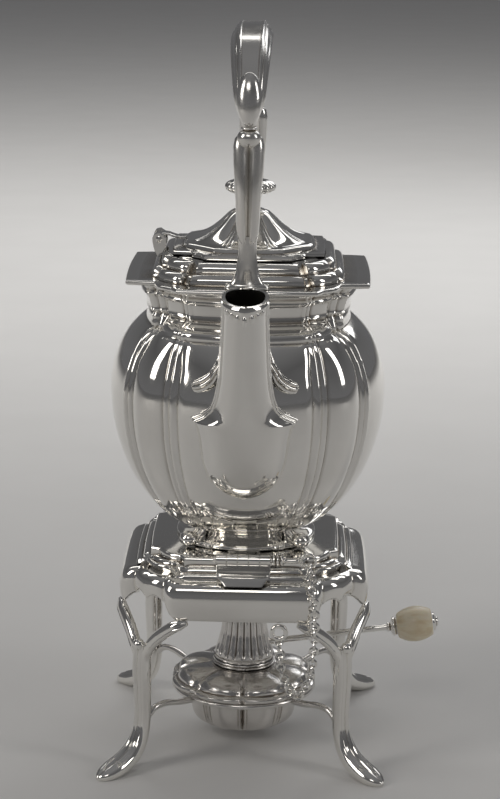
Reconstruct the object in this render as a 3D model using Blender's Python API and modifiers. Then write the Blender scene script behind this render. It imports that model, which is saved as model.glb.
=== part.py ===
"""Silver spirit kettle on its stand, with the lobed spirit burner that heats it.

Metres, +Z up. The spout points along -Y, the lid hinges on the left (-X) and the burner's
lever points right (+X). Everything is drawn about the kettle's own upright axis; one empty
at the end puts the middle of the whole box over the origin.
"""
import math

import bpy
import bmesh
import numpy as np
from mathutils import Matrix, Vector

MM = 0.001

# Fits
GAP = 0.3 * MM          # between soldered or resting pieces
RUN = 0.35 * MM         # between a turning pin and its bore
SHEET = 1.2 * MM        # thickness of the raised silver sheet
SET_BACK = 0.4 * MM     # of a leaf's edges and posts from the ends of its knuckles

# Stand
APRON_HEIGHT = 73.0 * MM        # floor to the lower edge of the aprons
APRON_DROP = 26.0 * MM          # lower edge of the aprons to the platform
WEB_DROP = 13.0 * MM            # lower edge of the corner webs to the platform
SHELF_DROP = 4.2 * MM           # shelf round the platform, below it
PLATFORM_MARGIN = 11.0 * MM     # platform beyond the kettle's foot
SHELF_WIDTH = 9.5 * MM          # shelf beyond the platform
APRON_SWELL = 4.5 * MM          # aprons beyond the shelf
APRON_HALF = 32.0 * MM
APRON_CROWN = 1.5 * MM
WEB_NOTCH = 3.0 * MM
WEB_LOBE = 2.5 * MM
PLATFORM_PANEL_HALF = 26.5 * MM
PLATFORM_NOTCH = 4.0 * MM
PLATFORM_LOBE = 2.0 * MM
CREST_DROP = 4.0 * MM           # shoulder of the aprons below the shelf
HEARTH_LAP = 5.0 * MM           # platform under the kettle's foot, round the flame
HEM_TUCK = 1.8 * MM             # how far the aprons' lower edge draws in

# Legs, measured out along the diagonal
LEG_SPLAY = 6.5 * MM            # shaft beyond the half width of the frame
INSTEP = 26.5 * MM              # shaft to the tip of the toe
INSTEP_HEIGHT = 11.8 * MM
FORK_DROP = 16.6 * MM           # fork below the aprons
WAIST_HEIGHT = 27.0 * MM
SHAFT_RADIUS = 3.5 * MM
WAIST_RADIUS = 3.0 * MM
FOOT_HALF = 5.0 * MM
TOE_THICKNESS = 5.3 * MM
SOLE_CUT = 2.7 * MM             # how much of the rounded toe the flat sole takes off
BRANCH_RADIUS = 2.4 * MM        # where a branch leaves the shaft
BRANCH_TIP = 1.7 * MM           # where it meets the apron
BRANCH_INSET = 9.5 * MM         # in from the end of the apron
BEAD_RADIUS = 2.6 * MM

# Burner ring and its arms
RING_RADIUS = 32.5 * MM
RING_WIRE = 1.3 * MM
RING_HEIGHT = 24.2 * MM
ARM_WIRE = 1.1 * MM
ARM_SWING = 2.4 * MM            # rise of an arm's curve over the ring

# Kettle body
KETTLE_FOOT_HEIGHT = 6.0 * MM
KETTLE_FOOT_HALF = 32.0 * MM
FOOT_FLARE = 7.5 * MM           # foot beyond the base of the body
FOOT_LAP = 3.0 * MM             # foot under the base of the body
BELLY_HALF = 62.5 * MM
BELLY_RISE = 63.4 * MM          # base to the widest line
BOWL_EASE = 1.2                 # how soon the bowl draws in to the base
SHOULDER_RISE = 37.0 * MM       # widest line to the neck
NECK_HALF = 45.6 * MM
SHOULDER_EASE = 1.4             # how soon the shoulder falls away to the neck
NECK_RISE = 14.7 * MM           # neck to the rim under the collar
RIM_INSET = 4.5 * MM            # rim inside the edge of the collar
OBLONG = 4.5 * MM               # how much longer than wide, each way from the axis
PANEL_HALF = 31.5 * MM
SIDE_PANEL_HALF = 34.0 * MM
PANEL_CROWN = 8.7 * MM
FLUTE_DEPTH = 3.0 * MM
LOBE_CROWN = 3.5 * MM

# Collar
COLLAR_PANEL_HALF = 30.5 * MM
COLLAR_EAR_HALF = 35.5 * MM
COLLAR_CROWN = 1.0 * MM
COLLAR_FRONT_NOTCH = 5.0 * MM
COLLAR_SIDE_NOTCH = 12.5 * MM
COLLAR_LOBE = 2.0 * MM
FLANGE_THICKNESS = 2.2 * MM
FLANGE_WIDTH = 8.0 * MM         # flange beyond the lower moulding
MOULDING_STEP = 4.2 * MM        # lower moulding beyond the upper
MOULDING_RISE = 4.6 * MM
MOULDING_ROUND = 2.0 * MM
LID_LEDGE = 8.3 * MM            # upper moulding beyond the lid
SEAT_LAP = 3.5 * MM             # seat under the edge of the lid

# Lid, finial and lid hinge
LID_HALF = 34.0 * MM
LID_EDGE = 1.8 * MM
LID_RISE = 15.5 * MM
FINIAL_RADIUS = 11.5 * MM
FINIAL_HALF_HEIGHT = 3.2 * MM
FINIAL_STEM_RADIUS = 3.0 * MM
FINIAL_STEM_HEIGHT = 6.0 * MM
SCREW_RADIUS = 1.5 * MM
NUT_RADIUS = 3.4 * MM
NUT_HEIGHT = 2.4 * MM
LID_HINGE_INSET = 1.8 * MM      # hinge axis in from the edge of the upper moulding
LID_HINGE_LENGTH = 15.0 * MM
LID_KNUCKLE_WALL = 0.95 * MM
LID_PIN_RADIUS = 1.0 * MM
LID_SHARES = (0, 0.15, 0.3, 0.45, 0.6, 0.78)    # rings of the dome, edge to finial

# Spout
SPOUT_REACH = 22.5 * MM         # mouth beyond the belly
SPOUT_MOUTH_RISE = 4.2 * MM     # mouth above the rim
SPOUT_MOUTH_HALF = 9.7 * MM
SPOUT_MOUTH_DEPTH = 7.9 * MM
SPOUT_WAIST_HALF = 11.5 * MM
SPOUT_ROOT_HALF = 18.6 * MM
SPOUT_WING_HALF = 22.3 * MM     # pointed shoulders above the root
SPOUT_ROOT_DEPTH = 18.5 * MM
SPOUT_ROOT_DROP = 16.0 * MM     # root below the widest line of the belly
SPOUT_WALL = 1.4 * MM
SPOUT_BORE = 6.0 * MM

# Handle
GRIP_RISE = 39.0 * MM           # foot of the grip to its top
SOCKET_DEPTH = 2.6 * MM         # half the thickness of a socket's foot
GRIP_HALF = 9.3 * MM
GRIP_THICKNESS = 11.5 * MM
SOCKET_FOOT_HALF = 9.5 * MM
SOCKET_STEM_HALF = 3.8 * MM
SOCKET_HEIGHT = 20.0 * MM
SHAFT_BOTTOM_HALF = 4.7 * MM
SHAFT_TOP_HALF = 6.8 * MM
SHAFT_DEPTH = 3.4 * MM          # half the thickness of a shaft
SHAFT_BOW = 1.5 * MM
HANDLE_SHAFT_LENGTH = 40.0 * MM
HANDLE_BEAD_RADIUS = 4.6 * MM
BOSS_HALF = 5.6 * MM
BOSS_LENGTH = 21.5 * MM
BOSS_DEPTH = 5.0 * MM

# Tilt hinge and its pin
KNUCKLE_WALL = 1.05 * MM
PIN_RADIUS = 1.2 * MM
BARREL_LENGTH = 24.5 * MM
HINGE_CLEARANCE = 1.7 * MM      # barrel in front of the platform
LEAF_THICKNESS = 1.3 * MM
PIN_COLLAR_LIP = 2.2 * MM       # collar beyond the pin
PIN_COLLAR_LENGTH = 4.0 * MM
PIN_NECK_LENGTH = 8.0 * MM
PIN_RING_RADIUS = 3.2 * MM
PIN_RING_WIRE = 0.7 * MM

# Chain
CHAIN_RADIUS = 1.5 * MM
EYE_ALONG = 16.3 * MM
EYE_RADIUS = 3.1 * MM
EYE_WIRE = 0.8 * MM

# Burner
BURNER_BASE_RADIUS = 18.5 * MM
BURNER_BOWL_RADIUS = 25.6 * MM
BURNER_BOWL_DEPTH = 19.0 * MM
RIM_OVERHANG = 0.6 * MM         # rim beyond the wire of the ring
BURNER_RIM_HEIGHT = 2.4 * MM
BURNER_DOME_RISE = 6.5 * MM
BURNER_NECK_RADIUS = 12.5 * MM
BURNER_COLLAR_LIP = 2.2 * MM    # collar beyond the neck
BURNER_COLLAR_HEIGHT = 2.6 * MM
GALLERY_INSET = 0.5 * MM        # gallery inside the edge of the collar
GALLERY_TAPER = 4.6 * MM
GALLERY_HEIGHT = 21.0 * MM
WICK_TUBE_WALL = 0.7 * MM
WICK_RADIUS = 2.6 * MM
WICK_PROUD = 3.5 * MM
WICK_FOOT = 2.5 * MM            # tube off the bowl's floor, and wick off the tube's end
TUBE_DROP = 4.0 * MM            # tube below the top of the gallery
CARRIER_LENGTH = 9.0 * MM
CARRIER_WALL = 0.65 * MM
LEVER_WIRE = 1.35 * MM
LEVER_REACH = 68.0 * MM
LEVER_ROOT_RISE = 6.9 * MM      # above the foot of the gallery
LEVER_SLOPE = math.radians(8.5)
FERRULE_RADIUS = 4.4 * MM
FERRULE_LENGTH = 3.0 * MM
KNOB_RADIUS = 8.4 * MM
KNOB_LENGTH = 16.6 * MM
CAP_LENGTH = 2.6 * MM

# Heights and places that follow from the sizes above
PLATFORM = APRON_HEIGHT + APRON_DROP
SHELF = PLATFORM - SHELF_DROP
PLATFORM_HALF = KETTLE_FOOT_HALF + PLATFORM_MARGIN
HEARTH_HALF = KETTLE_FOOT_HALF - HEARTH_LAP
SHELF_HALF = PLATFORM_HALF + SHELF_WIDTH
FRAME_HALF = SHELF_HALF + APRON_SWELL
HEM_HALF = FRAME_HALF - HEM_TUCK
SHAFT_REACH = FRAME_HALF + LEG_SPLAY
FORK_HEIGHT = APRON_HEIGHT - FORK_DROP
BRANCH_END = APRON_HALF - BRANCH_INSET
KNUCKLE_RADIUS = PIN_RADIUS + RUN + KNUCKLE_WALL
LID_KNUCKLE_RADIUS = LID_PIN_RADIUS + RUN + LID_KNUCKLE_WALL
HINGE_FORWARD = PLATFORM_HALF + HINGE_CLEARANCE + KNUCKLE_RADIUS
BASE_HALF = KETTLE_FOOT_HALF - FOOT_FLARE
UPPER_MOULDING_HALF = LID_HALF + LID_LEDGE
LOWER_MOULDING_HALF = UPPER_MOULDING_HALF + MOULDING_STEP
COLLAR_HALF = LOWER_MOULDING_HALF + FLANGE_WIDTH
MOUTH_HALF = LID_HALF - SEAT_LAP
RIM_HALF = COLLAR_HALF - RIM_INSET
KETTLE_BASE = PLATFORM + GAP + KETTLE_FOOT_HEIGHT + GAP
BELLY = KETTLE_BASE + BELLY_RISE
NECK = BELLY + SHOULDER_RISE
RIM = NECK + NECK_RISE
COLLAR_BASE = RIM + GAP
FLANGE_TOP = COLLAR_BASE + FLANGE_THICKNESS
SEAT = FLANGE_TOP + 2 * MOULDING_RISE
LID_BASE = SEAT + GAP
LID_APEX = LID_BASE + LID_EDGE + LID_RISE
HINGE_HEIGHT = PLATFORM + GAP + LEAF_THICKNESS / 2
MOULDING_FOOT = LOWER_MOULDING_HALF + MOULDING_ROUND * 0.4
HANDLE_SPAN = MOULDING_FOOT * (1 + OBLONG / 2 / COLLAR_HALF) + GAP + SOCKET_DEPTH
LID_HINGE_HEIGHT = LID_BASE + LEAF_THICKNESS + GAP + LID_KNUCKLE_RADIUS
SOCKET_TOP = FLANGE_TOP + GAP + SOCKET_HEIGHT
SHAFT_TOP = SOCKET_TOP + GAP + HANDLE_SHAFT_LENGTH
HANDLE_BEAD = SHAFT_TOP + GAP + HANDLE_BEAD_RADIUS
GRIP_FOOT = HANDLE_BEAD + HANDLE_BEAD_RADIUS + GAP
BELLY_FRONT = BELLY_HALF + OBLONG
SPOUT_ROOT_HEIGHT = BELLY - SPOUT_ROOT_DROP
SPOUT_MOUTH_HEIGHT = RIM + SPOUT_MOUTH_RISE
SPOUT_MOUTH_FORWARD = BELLY_FRONT + SPOUT_REACH
RING_TOP = RING_HEIGHT + RING_WIRE
BURNER_RIM = RING_TOP + GAP
BURNER_RIM_RADIUS = RING_RADIUS + RING_WIRE + RIM_OVERHANG
BURNER_COLLAR_RADIUS = BURNER_NECK_RADIUS + BURNER_COLLAR_LIP
GALLERY_FOOT_RADIUS = BURNER_COLLAR_RADIUS - GALLERY_INSET
WICK_TUBE_RADIUS = WICK_RADIUS + GAP + CARRIER_WALL + RUN + WICK_TUBE_WALL
BURNER_NECK = BURNER_RIM + BURNER_RIM_HEIGHT + BURNER_DOME_RISE
GALLERY_BASE = BURNER_NECK + GAP + BURNER_COLLAR_HEIGHT + GAP
GALLERY_TOP = GALLERY_BASE + GALLERY_HEIGHT

CORNERS = {"front_right": -45, "rear_right": 45, "rear_left": 135, "front_left": -135}
SILVER = ((0.86, 0.85, 0.83), 0.18, 1.0)
DARK_SILVER = ((0.55, 0.53, 0.50), 0.35, 1.0)
IVORY = ((0.86, 0.78, 0.60), 0.45, 0.0)
COTTON = ((0.88, 0.85, 0.78), 0.95, 0.0)

for stale in list(bpy.data.objects):
    bpy.data.objects.remove(stale)
PARTS = bpy.data.collections.new("spirit_kettle")
CUTTERS = bpy.data.collections.new("cutters")
for collection in (PARTS, CUTTERS):
    bpy.context.scene.collection.children.link(collection)


def pivot(name, place, parent=None):
    """An empty on a joint's axis, or at the root, that carries the pieces of one body."""
    empty = bpy.data.objects.new(name, None)
    empty["place"] = place
    PARTS.objects.link(empty)
    empty.parent = parent
    empty.location = Vector(place) - (Vector(parent["place"]) if parent else Vector())
    return empty


def keep(obj, body, finish=SILVER):
    """Give a finished piece its material and hang it on the empty of its body."""
    colour, roughness, metallic = finish
    surface = bpy.data.materials.new(obj.name + "_surface")
    surface.use_nodes = True
    shader = surface.node_tree.nodes["Principled BSDF"]
    shader.inputs["Base Color"].default_value = (*colour, 1.0)
    shader.inputs["Roughness"].default_value = roughness
    shader.inputs["Metallic"].default_value = metallic
    obj.data.materials.clear()
    obj.data.materials.append(surface)
    for collection in list(obj.users_collection):
        collection.objects.unlink(obj)
    PARTS.objects.link(obj)
    obj.parent = body
    obj.location -= Vector(body["place"])
    return obj


def mesh_object(name, points, faces):
    """A mesh object from points and faces, with its faces turned outwards and shaded smooth."""
    mesh = bpy.data.meshes.new(name)
    mesh.from_pydata([tuple(point) for point in points], [], faces)
    shape = bmesh.new()
    shape.from_mesh(mesh)
    bmesh.ops.recalc_face_normals(shape, faces=shape.faces)
    shape.to_mesh(mesh)
    shape.free()
    mesh.shade_smooth()
    mesh.set_sharp_from_angle(angle=math.radians(40))
    obj = bpy.data.objects.new(name, mesh)
    bpy.context.scene.collection.objects.link(obj)
    return obj


def loft(name, rings, closed=False):
    """Skin a stack of rings of equal count; a closed stack joins its last ring to its first."""
    rings = np.asarray(rings, float)
    stack, around, _ = rings.shape
    faces = []
    for low in range(stack if closed else stack - 1):
        high = (low + 1) % stack
        for here in range(around):
            there = (here + 1) % around
            faces.append((low * around + here, low * around + there,
                          high * around + there, high * around + here))
    if not closed:
        faces.append(tuple(range(around))[::-1])
        faces.append(tuple(range((stack - 1) * around, stack * around)))
    return mesh_object(name, rings.reshape(-1, 3), faces)


def smooth_route(points, spans=6):
    """Points along a smooth curve through the given ones, with that many steps between each two."""
    points = np.asarray(points, float)
    padded = np.vstack([2 * points[0] - points[1], points, 2 * points[-1] - points[-2]])
    route = []
    for before, start, end, after in zip(padded, padded[1:], padded[2:], padded[3:]):
        for step in np.linspace(0, 1, spans, endpoint=False):
            pull = start * 2 + (end - before) * step
            bend = (2 * before - 5 * start + 4 * end - after) * step ** 2
            twist = (3 * start - before - 3 * end + after) * step ** 3
            route.append((pull + bend + twist) / 2)
    return np.vstack([route, points[-1]])


def sweep_rings(stations, sides):
    """Oval rings along a route in the upright plane of +X.

    Each station is (reach, height, half_width, half_depth): the width lies across the plane,
    the depth square to the route within it.
    """
    stations = np.asarray(stations, float)
    along = np.gradient(stations[:, :2], axis=0)
    along /= np.linalg.norm(along, axis=1)[:, None]
    turn = np.linspace(0, 2 * math.pi, sides, endpoint=False)
    across = stations[:, 2:3] * np.cos(turn)
    out = stations[:, 3:4] * np.sin(turn)
    reach = stations[:, 0:1] - out * along[:, 1:2]
    height = stations[:, 1:2] + out * along[:, 0:1]
    return np.stack([reach, across, height], axis=2)


def turned(name, profile, steps=24, ring=False):
    """A solid turned about Z from (radius, height) points, down the outside from the top."""
    mesh = bpy.data.meshes.new(name)
    edges = [(i, i + 1) for i in range(len(profile) - 1)]
    if ring:
        edges.append((len(profile) - 1, 0))
    mesh.from_pydata([(radius, 0, height) for radius, height in profile], edges, [])
    obj = bpy.data.objects.new(name, mesh)
    bpy.context.scene.collection.objects.link(obj)
    screw = obj.modifiers.new("turn", "SCREW")
    screw.steps = steps
    screw.render_steps = steps
    screw.use_merge_vertices = True
    screw.merge_threshold = 0.00001
    return obj


def tube(name, points, radius, taper=1.0, roundness=1):
    """A round wire along the given points, closed at both ends, that tapers to a share of its radius."""
    curve = bpy.data.curves.new(name, "CURVE")
    curve.dimensions = "3D"
    curve.bevel_depth = radius
    curve.bevel_resolution = roundness
    curve.use_fill_caps = True
    spline = curve.splines.new("POLY")
    spline.points.add(len(points) - 1)
    for knot, place, width in zip(spline.points, points, np.linspace(1, taper, len(points))):
        knot.co = (*place, 1)
        knot.radius = width
    obj = bpy.data.objects.new(name, curve)
    bpy.context.scene.collection.objects.link(obj)
    return obj


def torus(name, radius, wire, place, rotation=(0, 0, 0), around=24, sides=8):
    bpy.ops.mesh.primitive_torus_add(
        major_radius=radius, minor_radius=wire, major_segments=around, minor_segments=sides,
        location=place, rotation=rotation)
    obj = bpy.context.object
    obj.name = name
    obj.data.shade_smooth()
    return obj


def box(name, low, high):
    """A box between two corners."""
    low, high = Vector(low), Vector(high)
    bpy.ops.mesh.primitive_cube_add(size=1, location=(low + high) / 2)
    obj = bpy.context.object
    obj.name = name
    obj.data.transform(Matrix.Diagonal((*(high - low), 1)))
    return obj


def as_mesh(obj):
    """The evaluated shape as a plain mesh object, with loose caps welded on."""
    view = bpy.context.evaluated_depsgraph_get()
    mesh = bpy.data.meshes.new_from_object(obj.evaluated_get(view))
    shape = bmesh.new()
    shape.from_mesh(mesh)
    bmesh.ops.remove_doubles(shape, verts=shape.verts, dist=0.000001)
    bmesh.ops.recalc_face_normals(shape, faces=shape.faces)
    shape.to_mesh(mesh)
    shape.free()
    solid = bpy.data.objects.new(obj.name, mesh)
    solid.matrix_world = obj.matrix_world
    name = obj.name
    bpy.data.objects.remove(obj)
    solid.name = name
    bpy.context.scene.collection.objects.link(solid)
    return solid


def combine(target, tool, operation):
    """Join a tool to the target, or cut it away, with a Boolean that stays on the target."""
    for collection in list(tool.users_collection):
        collection.objects.unlink(tool)
    CUTTERS.objects.link(tool)
    tool.parent = ROOT
    tool.hide_render = True
    tool.display_type = "WIRE"
    change = target.modifiers.new(tool.name, "BOOLEAN")
    change.operation = operation
    change.object = tool
    return target


def scalloped(half_x, half_y, panel_x, panel_y, crown, notch_x, notch_y, lobe):
    """Plan of a square with four broad panels and four corner lobes, and a mark for each point.

    The panels crown out to half_x and half_y. A notch cuts in beside each panel's end, and the
    corner lobe arches from notch to notch. The mark is 1 on a panel, less towards its ends, and
    0 at a corner.
    """
    quarter = []
    for share, mark in ((0, 1), (0.4, 1), (0.75, 1), (1, 0.5)):
        quarter.append((panel_x * share, -half_y + crown * share ** 2, mark))
    start = np.array((panel_x + notch_y / 2, -half_y + crown + notch_y))
    end = np.array((half_x - crown - notch_x, -panel_y - notch_x / 8))
    out = np.array((start[1] - end[1], end[0] - start[0]))
    out = -out / np.linalg.norm(out) * np.sign(out[1])
    out[0] = abs(out[0])
    for share in (0, 0.2, 0.5, 0.8, 1):
        rise = lobe * math.sin(math.pi * share) ** 0.7
        place = start + (end - start) * share + out * rise
        quarter.append((*place, 0))
    for share, mark in ((1, 0.5), (0.75, 1), (0.4, 1), (0, 1)):
        quarter.append((half_x - crown * share ** 2, -panel_y * share, mark))
    half = quarter + [(x, -y, mark) for x, y, mark in reversed(quarter[:-1])]
    loop = half + [(-x, y, mark) for x, y, mark in reversed(half[1:-1])]
    loop = np.array(loop)
    return loop[:, :2], loop[:, 2]


def ring_at(plan, height):
    """One ring of a loft: a plan at a height, or at a height for each of its points."""
    return np.column_stack([plan, np.broadcast_to(height, len(plan))])


# Bodies
HINGE_AXIS = (0, -HINGE_FORWARD, HINGE_HEIGHT)
LID_AXIS = (LID_HINGE_INSET - UPPER_MOULDING_HALF, 0, LID_HINGE_HEIGHT)
ROOT = pivot("kettle_on_stand", (0, 0, 0))
STAND = pivot("stand", (0, 0, 0), ROOT)
PIN = pivot("tilt_pin_axis", HINGE_AXIS, ROOT)
KETTLE = pivot("kettle_tilt_axis", HINGE_AXIS, ROOT)
LID = pivot("lid_axis", LID_AXIS, KETTLE)
BURNER = pivot("burner_axis", (0, 0, BURNER_RIM), ROOT)
REGULATOR = pivot("lever_axis", (0, 0, GALLERY_BASE), BURNER)
WICK = pivot("wick_axis", (0, 0, GALLERY_BASE), BURNER)


# Stand frame, with its aprons, corner webs, shelf and platform
def stand_frame():
    plan, mark = scalloped(FRAME_HALF, FRAME_HALF, APRON_HALF, APRON_HALF, APRON_CROWN,
                           WEB_NOTCH, WEB_NOTCH, WEB_LOBE)
    hem = PLATFORM - WEB_DROP - (APRON_DROP - WEB_DROP) * mark
    crest = SHELF - CREST_DROP
    swell = (hem + crest) / 2
    top_plan = scalloped(PLATFORM_HALF, PLATFORM_HALF, PLATFORM_PANEL_HALF, PLATFORM_PANEL_HALF, SHEET / 2,
                         PLATFORM_NOTCH, PLATFORM_NOTCH, PLATFORM_LOBE)[0]
    platform = [
        (HEARTH_HALF, PLATFORM - SHEET), (HEARTH_HALF, PLATFORM), (PLATFORM_HALF - SHEET / 2, PLATFORM),
        (PLATFORM_HALF, PLATFORM - SHEET / 2), (PLATFORM_HALF, SHELF),
    ]
    skirt = [
        (SHELF_HALF, SHELF), (FRAME_HALF - SHEET, crest), (FRAME_HALF, swell), (HEM_HALF, hem),
        (HEM_HALF - SHEET, hem), (FRAME_HALF - SHEET, swell), (HEM_HALF - SHEET, crest - SHEET),
        (SHELF_HALF - SHEET, SHELF - SHEET),
    ]
    under = [(PLATFORM_HALF - SHEET, SHELF - SHEET), (PLATFORM_HALF - SHEET, PLATFORM - SHEET)]
    rings = []
    for shape, size, stations in ((top_plan, PLATFORM_HALF, platform), (plan, FRAME_HALF, skirt),
                                  (top_plan, PLATFORM_HALF, under)):
        rings += [ring_at(shape * (half / size), height) for half, height in stations]
    keep(loft("stand_frame", rings, closed=True), STAND)


# Legs: a reeded shaft that forks into two branches below the aprons and ends in a slipper foot
def legs():
    stations = [
        (SHAFT_REACH, FORK_HEIGHT, SHAFT_RADIUS, SHAFT_RADIUS),
        (SHAFT_REACH + SHAFT_RADIUS / 3, FORK_HEIGHT * 0.65 + WAIST_HEIGHT * 0.35,
         SHAFT_RADIUS, SHAFT_RADIUS),
        (SHAFT_REACH, WAIST_HEIGHT, WAIST_RADIUS, WAIST_RADIUS),
        (SHAFT_REACH + 0.12 * INSTEP, INSTEP_HEIGHT, WAIST_RADIUS * 1.1, WAIST_RADIUS * 1.1),
    ]
    for along, width, top, cut in ((0.45, 0.85, 1.35, 0.3), (0.7, 1, 1, 1), (0.92, 0.6, 0.66, 0.63),
                                   (1, 0.22, 0.32, 0.26)):
        high, low = TOE_THICKNESS * top, SOLE_CUT * cut
        stations.append((SHAFT_REACH + INSTEP * along, (high - low) / 2, FOOT_HALF * width, (high + low) / 2))
    rings = sweep_rings(smooth_route(stations, 2), 8)
    rings[:, :, 2] = np.maximum(rings[:, :, 2], 0)
    shaft = loft("leg", rings)
    apron_face = HEM_HALF - SHEET / 2
    landing = ((BRANCH_END + apron_face) / math.sqrt(2), (apron_face - BRANCH_END) / math.sqrt(2))
    under = APRON_HEIGHT - GAP - BRANCH_TIP
    climb = under - FORK_HEIGHT
    for side in (-1, 1):
        route = []
        for share, lift in ((0, -0.3), (0.14, 0.3), (0.45, 0.8), (1, 1)):
            route.append((SHAFT_REACH + (landing[0] - SHAFT_REACH) * share,
                          side * (BRANCH_RADIUS / 2 + (landing[1] - BRANCH_RADIUS / 2) * share),
                          FORK_HEIGHT + climb * lift))
        branch = as_mesh(tube("branch", smooth_route(route, 3), BRANCH_RADIUS, BRANCH_TIP / BRANCH_RADIUS))
        combine(shaft, branch, "UNION")
    bpy.ops.mesh.primitive_uv_sphere_add(
        segments=10, ring_count=6, radius=BEAD_RADIUS,
        location=(SHAFT_REACH, 0, FORK_HEIGHT + BEAD_RADIUS * 0.8))
    combine(shaft, bpy.context.object, "UNION")
    leg = as_mesh(shaft)
    leg.data.shade_smooth()
    for corner, heading in CORNERS.items():
        copy = bpy.data.objects.new("leg_" + corner, leg.data.copy())
        bpy.context.scene.collection.objects.link(copy)
        copy.rotation_euler.z = math.radians(heading)
        keep(copy, STAND)
    bpy.data.objects.remove(leg)


# Ring that carries the burner, on four wire arms from the legs
def burner_ring():
    keep(torus("burner_ring", RING_RADIUS, RING_WIRE, (0, 0, RING_HEIGHT), around=32, sides=6), STAND)
    start = RING_RADIUS + RING_WIRE + GAP
    end = SHAFT_REACH - WAIST_RADIUS - GAP
    for corner, heading in CORNERS.items():
        route = []
        for share, swing in ((0, 0), (0.25, 0.3), (0.55, 1), (0.8, 0.9), (0.94, 0), (1, -0.6)):
            route.append((start + (end - start) * share, 0, RING_HEIGHT + ARM_SWING * swing))
        arm = tube("ring_arm_" + corner, smooth_route(route, 3), ARM_WIRE)
        arm.rotation_euler.z = math.radians(heading)
        keep(arm, STAND)


def knuckle(name, radius, bore, start, end, steps=16):
    """A short bored barrel about X, from one place along it to another."""
    ring = [(radius, end), (radius, start), (bore, start), (bore, end)]
    barrel = as_mesh(turned(name, ring, steps, ring=True))
    barrel.data.transform(Matrix.Rotation(math.pi / 2, 4, "Y"))
    return barrel


# Tilt hinge: three knuckles on the stand, two on the kettle, and a pin that pulls out
def tilt_hinge():
    bore = PIN_RADIUS + RUN
    pitch = BARREL_LENGTH / 5
    forward, height = -HINGE_FORWARD, HINGE_HEIGHT
    wide = BARREL_LENGTH / 2 - SET_BACK
    stand_plate = flat_outline(
        "stand_hinge_leaf",
        [(-wide, forward + PIN_RADIUS), (-wide, forward - KNUCKLE_RADIUS),
         (-wide * 0.7, LEAF_THICKNESS - SHELF_HALF), (wide * 0.7, LEAF_THICKNESS - SHELF_HALF),
         (wide, forward - KNUCKLE_RADIUS), (wide, forward + PIN_RADIUS)],
        SHELF + GAP, height - KNUCKLE_RADIUS - GAP)
    foot_front = -KETTLE_FOOT_HALF * BELLY_FRONT / BELLY_HALF - GAP
    kettle_plate = box("kettle_hinge_leaf",
                       (pitch - wide, forward + KNUCKLE_RADIUS + GAP, height - LEAF_THICKNESS / 2),
                       (wide - pitch - GAP, foot_front, height + LEAF_THICKNESS / 2))
    for index in range(5):
        start = -BARREL_LENGTH / 2 + pitch * index
        end = start + pitch - (GAP if index < 4 else 0)
        barrel = knuckle(f"knuckle_{index}", KNUCKLE_RADIUS, bore, start, end)
        barrel.location = HINGE_AXIS
        if index % 2 == 0:
            combine(stand_plate, barrel, "UNION")
            post = box(f"post_{index}",
                       (start + SET_BACK, forward - PIN_RADIUS * 0.9,
                        height - KNUCKLE_RADIUS - GAP - SET_BACK),
                       (end - SET_BACK, forward + PIN_RADIUS * 0.9, height - bore - GAP))
            combine(stand_plate, post, "UNION")
        else:
            combine(kettle_plate, barrel, "UNION")
            post = box(f"post_{index}",
                       (start + 2 * SET_BACK, forward + bore + GAP, height - LEAF_THICKNESS * 0.4),
                       (end - 2 * SET_BACK, forward + KNUCKLE_RADIUS + LEAF_THICKNESS,
                        height + LEAF_THICKNESS * 0.4))
            combine(kettle_plate, post, "UNION")
    keep(stand_plate, STAND)
    keep(kettle_plate, KETTLE)

    head = BARREL_LENGTH / 2 + GAP
    neck = head + PIN_COLLAR_LENGTH
    tip = neck + PIN_NECK_LENGTH
    lip = PIN_RADIUS + PIN_COLLAR_LIP
    profile = [(0, tip), (PIN_RADIUS, tip), (PIN_RADIUS, neck), (lip, neck), (lip, head), (PIN_RADIUS, head),
               (PIN_RADIUS, -head), (0, -head - PIN_RADIUS / 2)]
    pin = turned("tilt_pin", profile, 16)
    pin.rotation_euler.y = math.pi / 2
    pin.location = HINGE_AXIS
    keep(pin, PIN)
    ring_centre = tip + GAP + PIN_RING_RADIUS + PIN_RING_WIRE
    keep(torus("pin_ring", PIN_RING_RADIUS, PIN_RING_WIRE, (ring_centre, forward, height),
               (math.pi / 2, 0, 0), 18, 6), PIN)
    return ring_centre


def flat_outline(name, corners, low, high):
    """A flat plate with the given outline, between two heights."""
    curve = bpy.data.curves.new(name, "CURVE")
    curve.dimensions = "2D"
    curve.fill_mode = "BOTH"
    curve.extrude = (high - low) / 2
    spline = curve.splines.new("POLY")
    spline.points.add(len(corners) - 1)
    for knot, (x, y) in zip(spline.points, corners):
        knot.co = (x, y, 0, 1)
    spline.use_cyclic_u = True
    obj = bpy.data.objects.new(name, curve)
    bpy.context.scene.collection.objects.link(obj)
    obj.location.z = (low + high) / 2
    bpy.context.view_layer.update()
    return as_mesh(obj)


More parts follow.
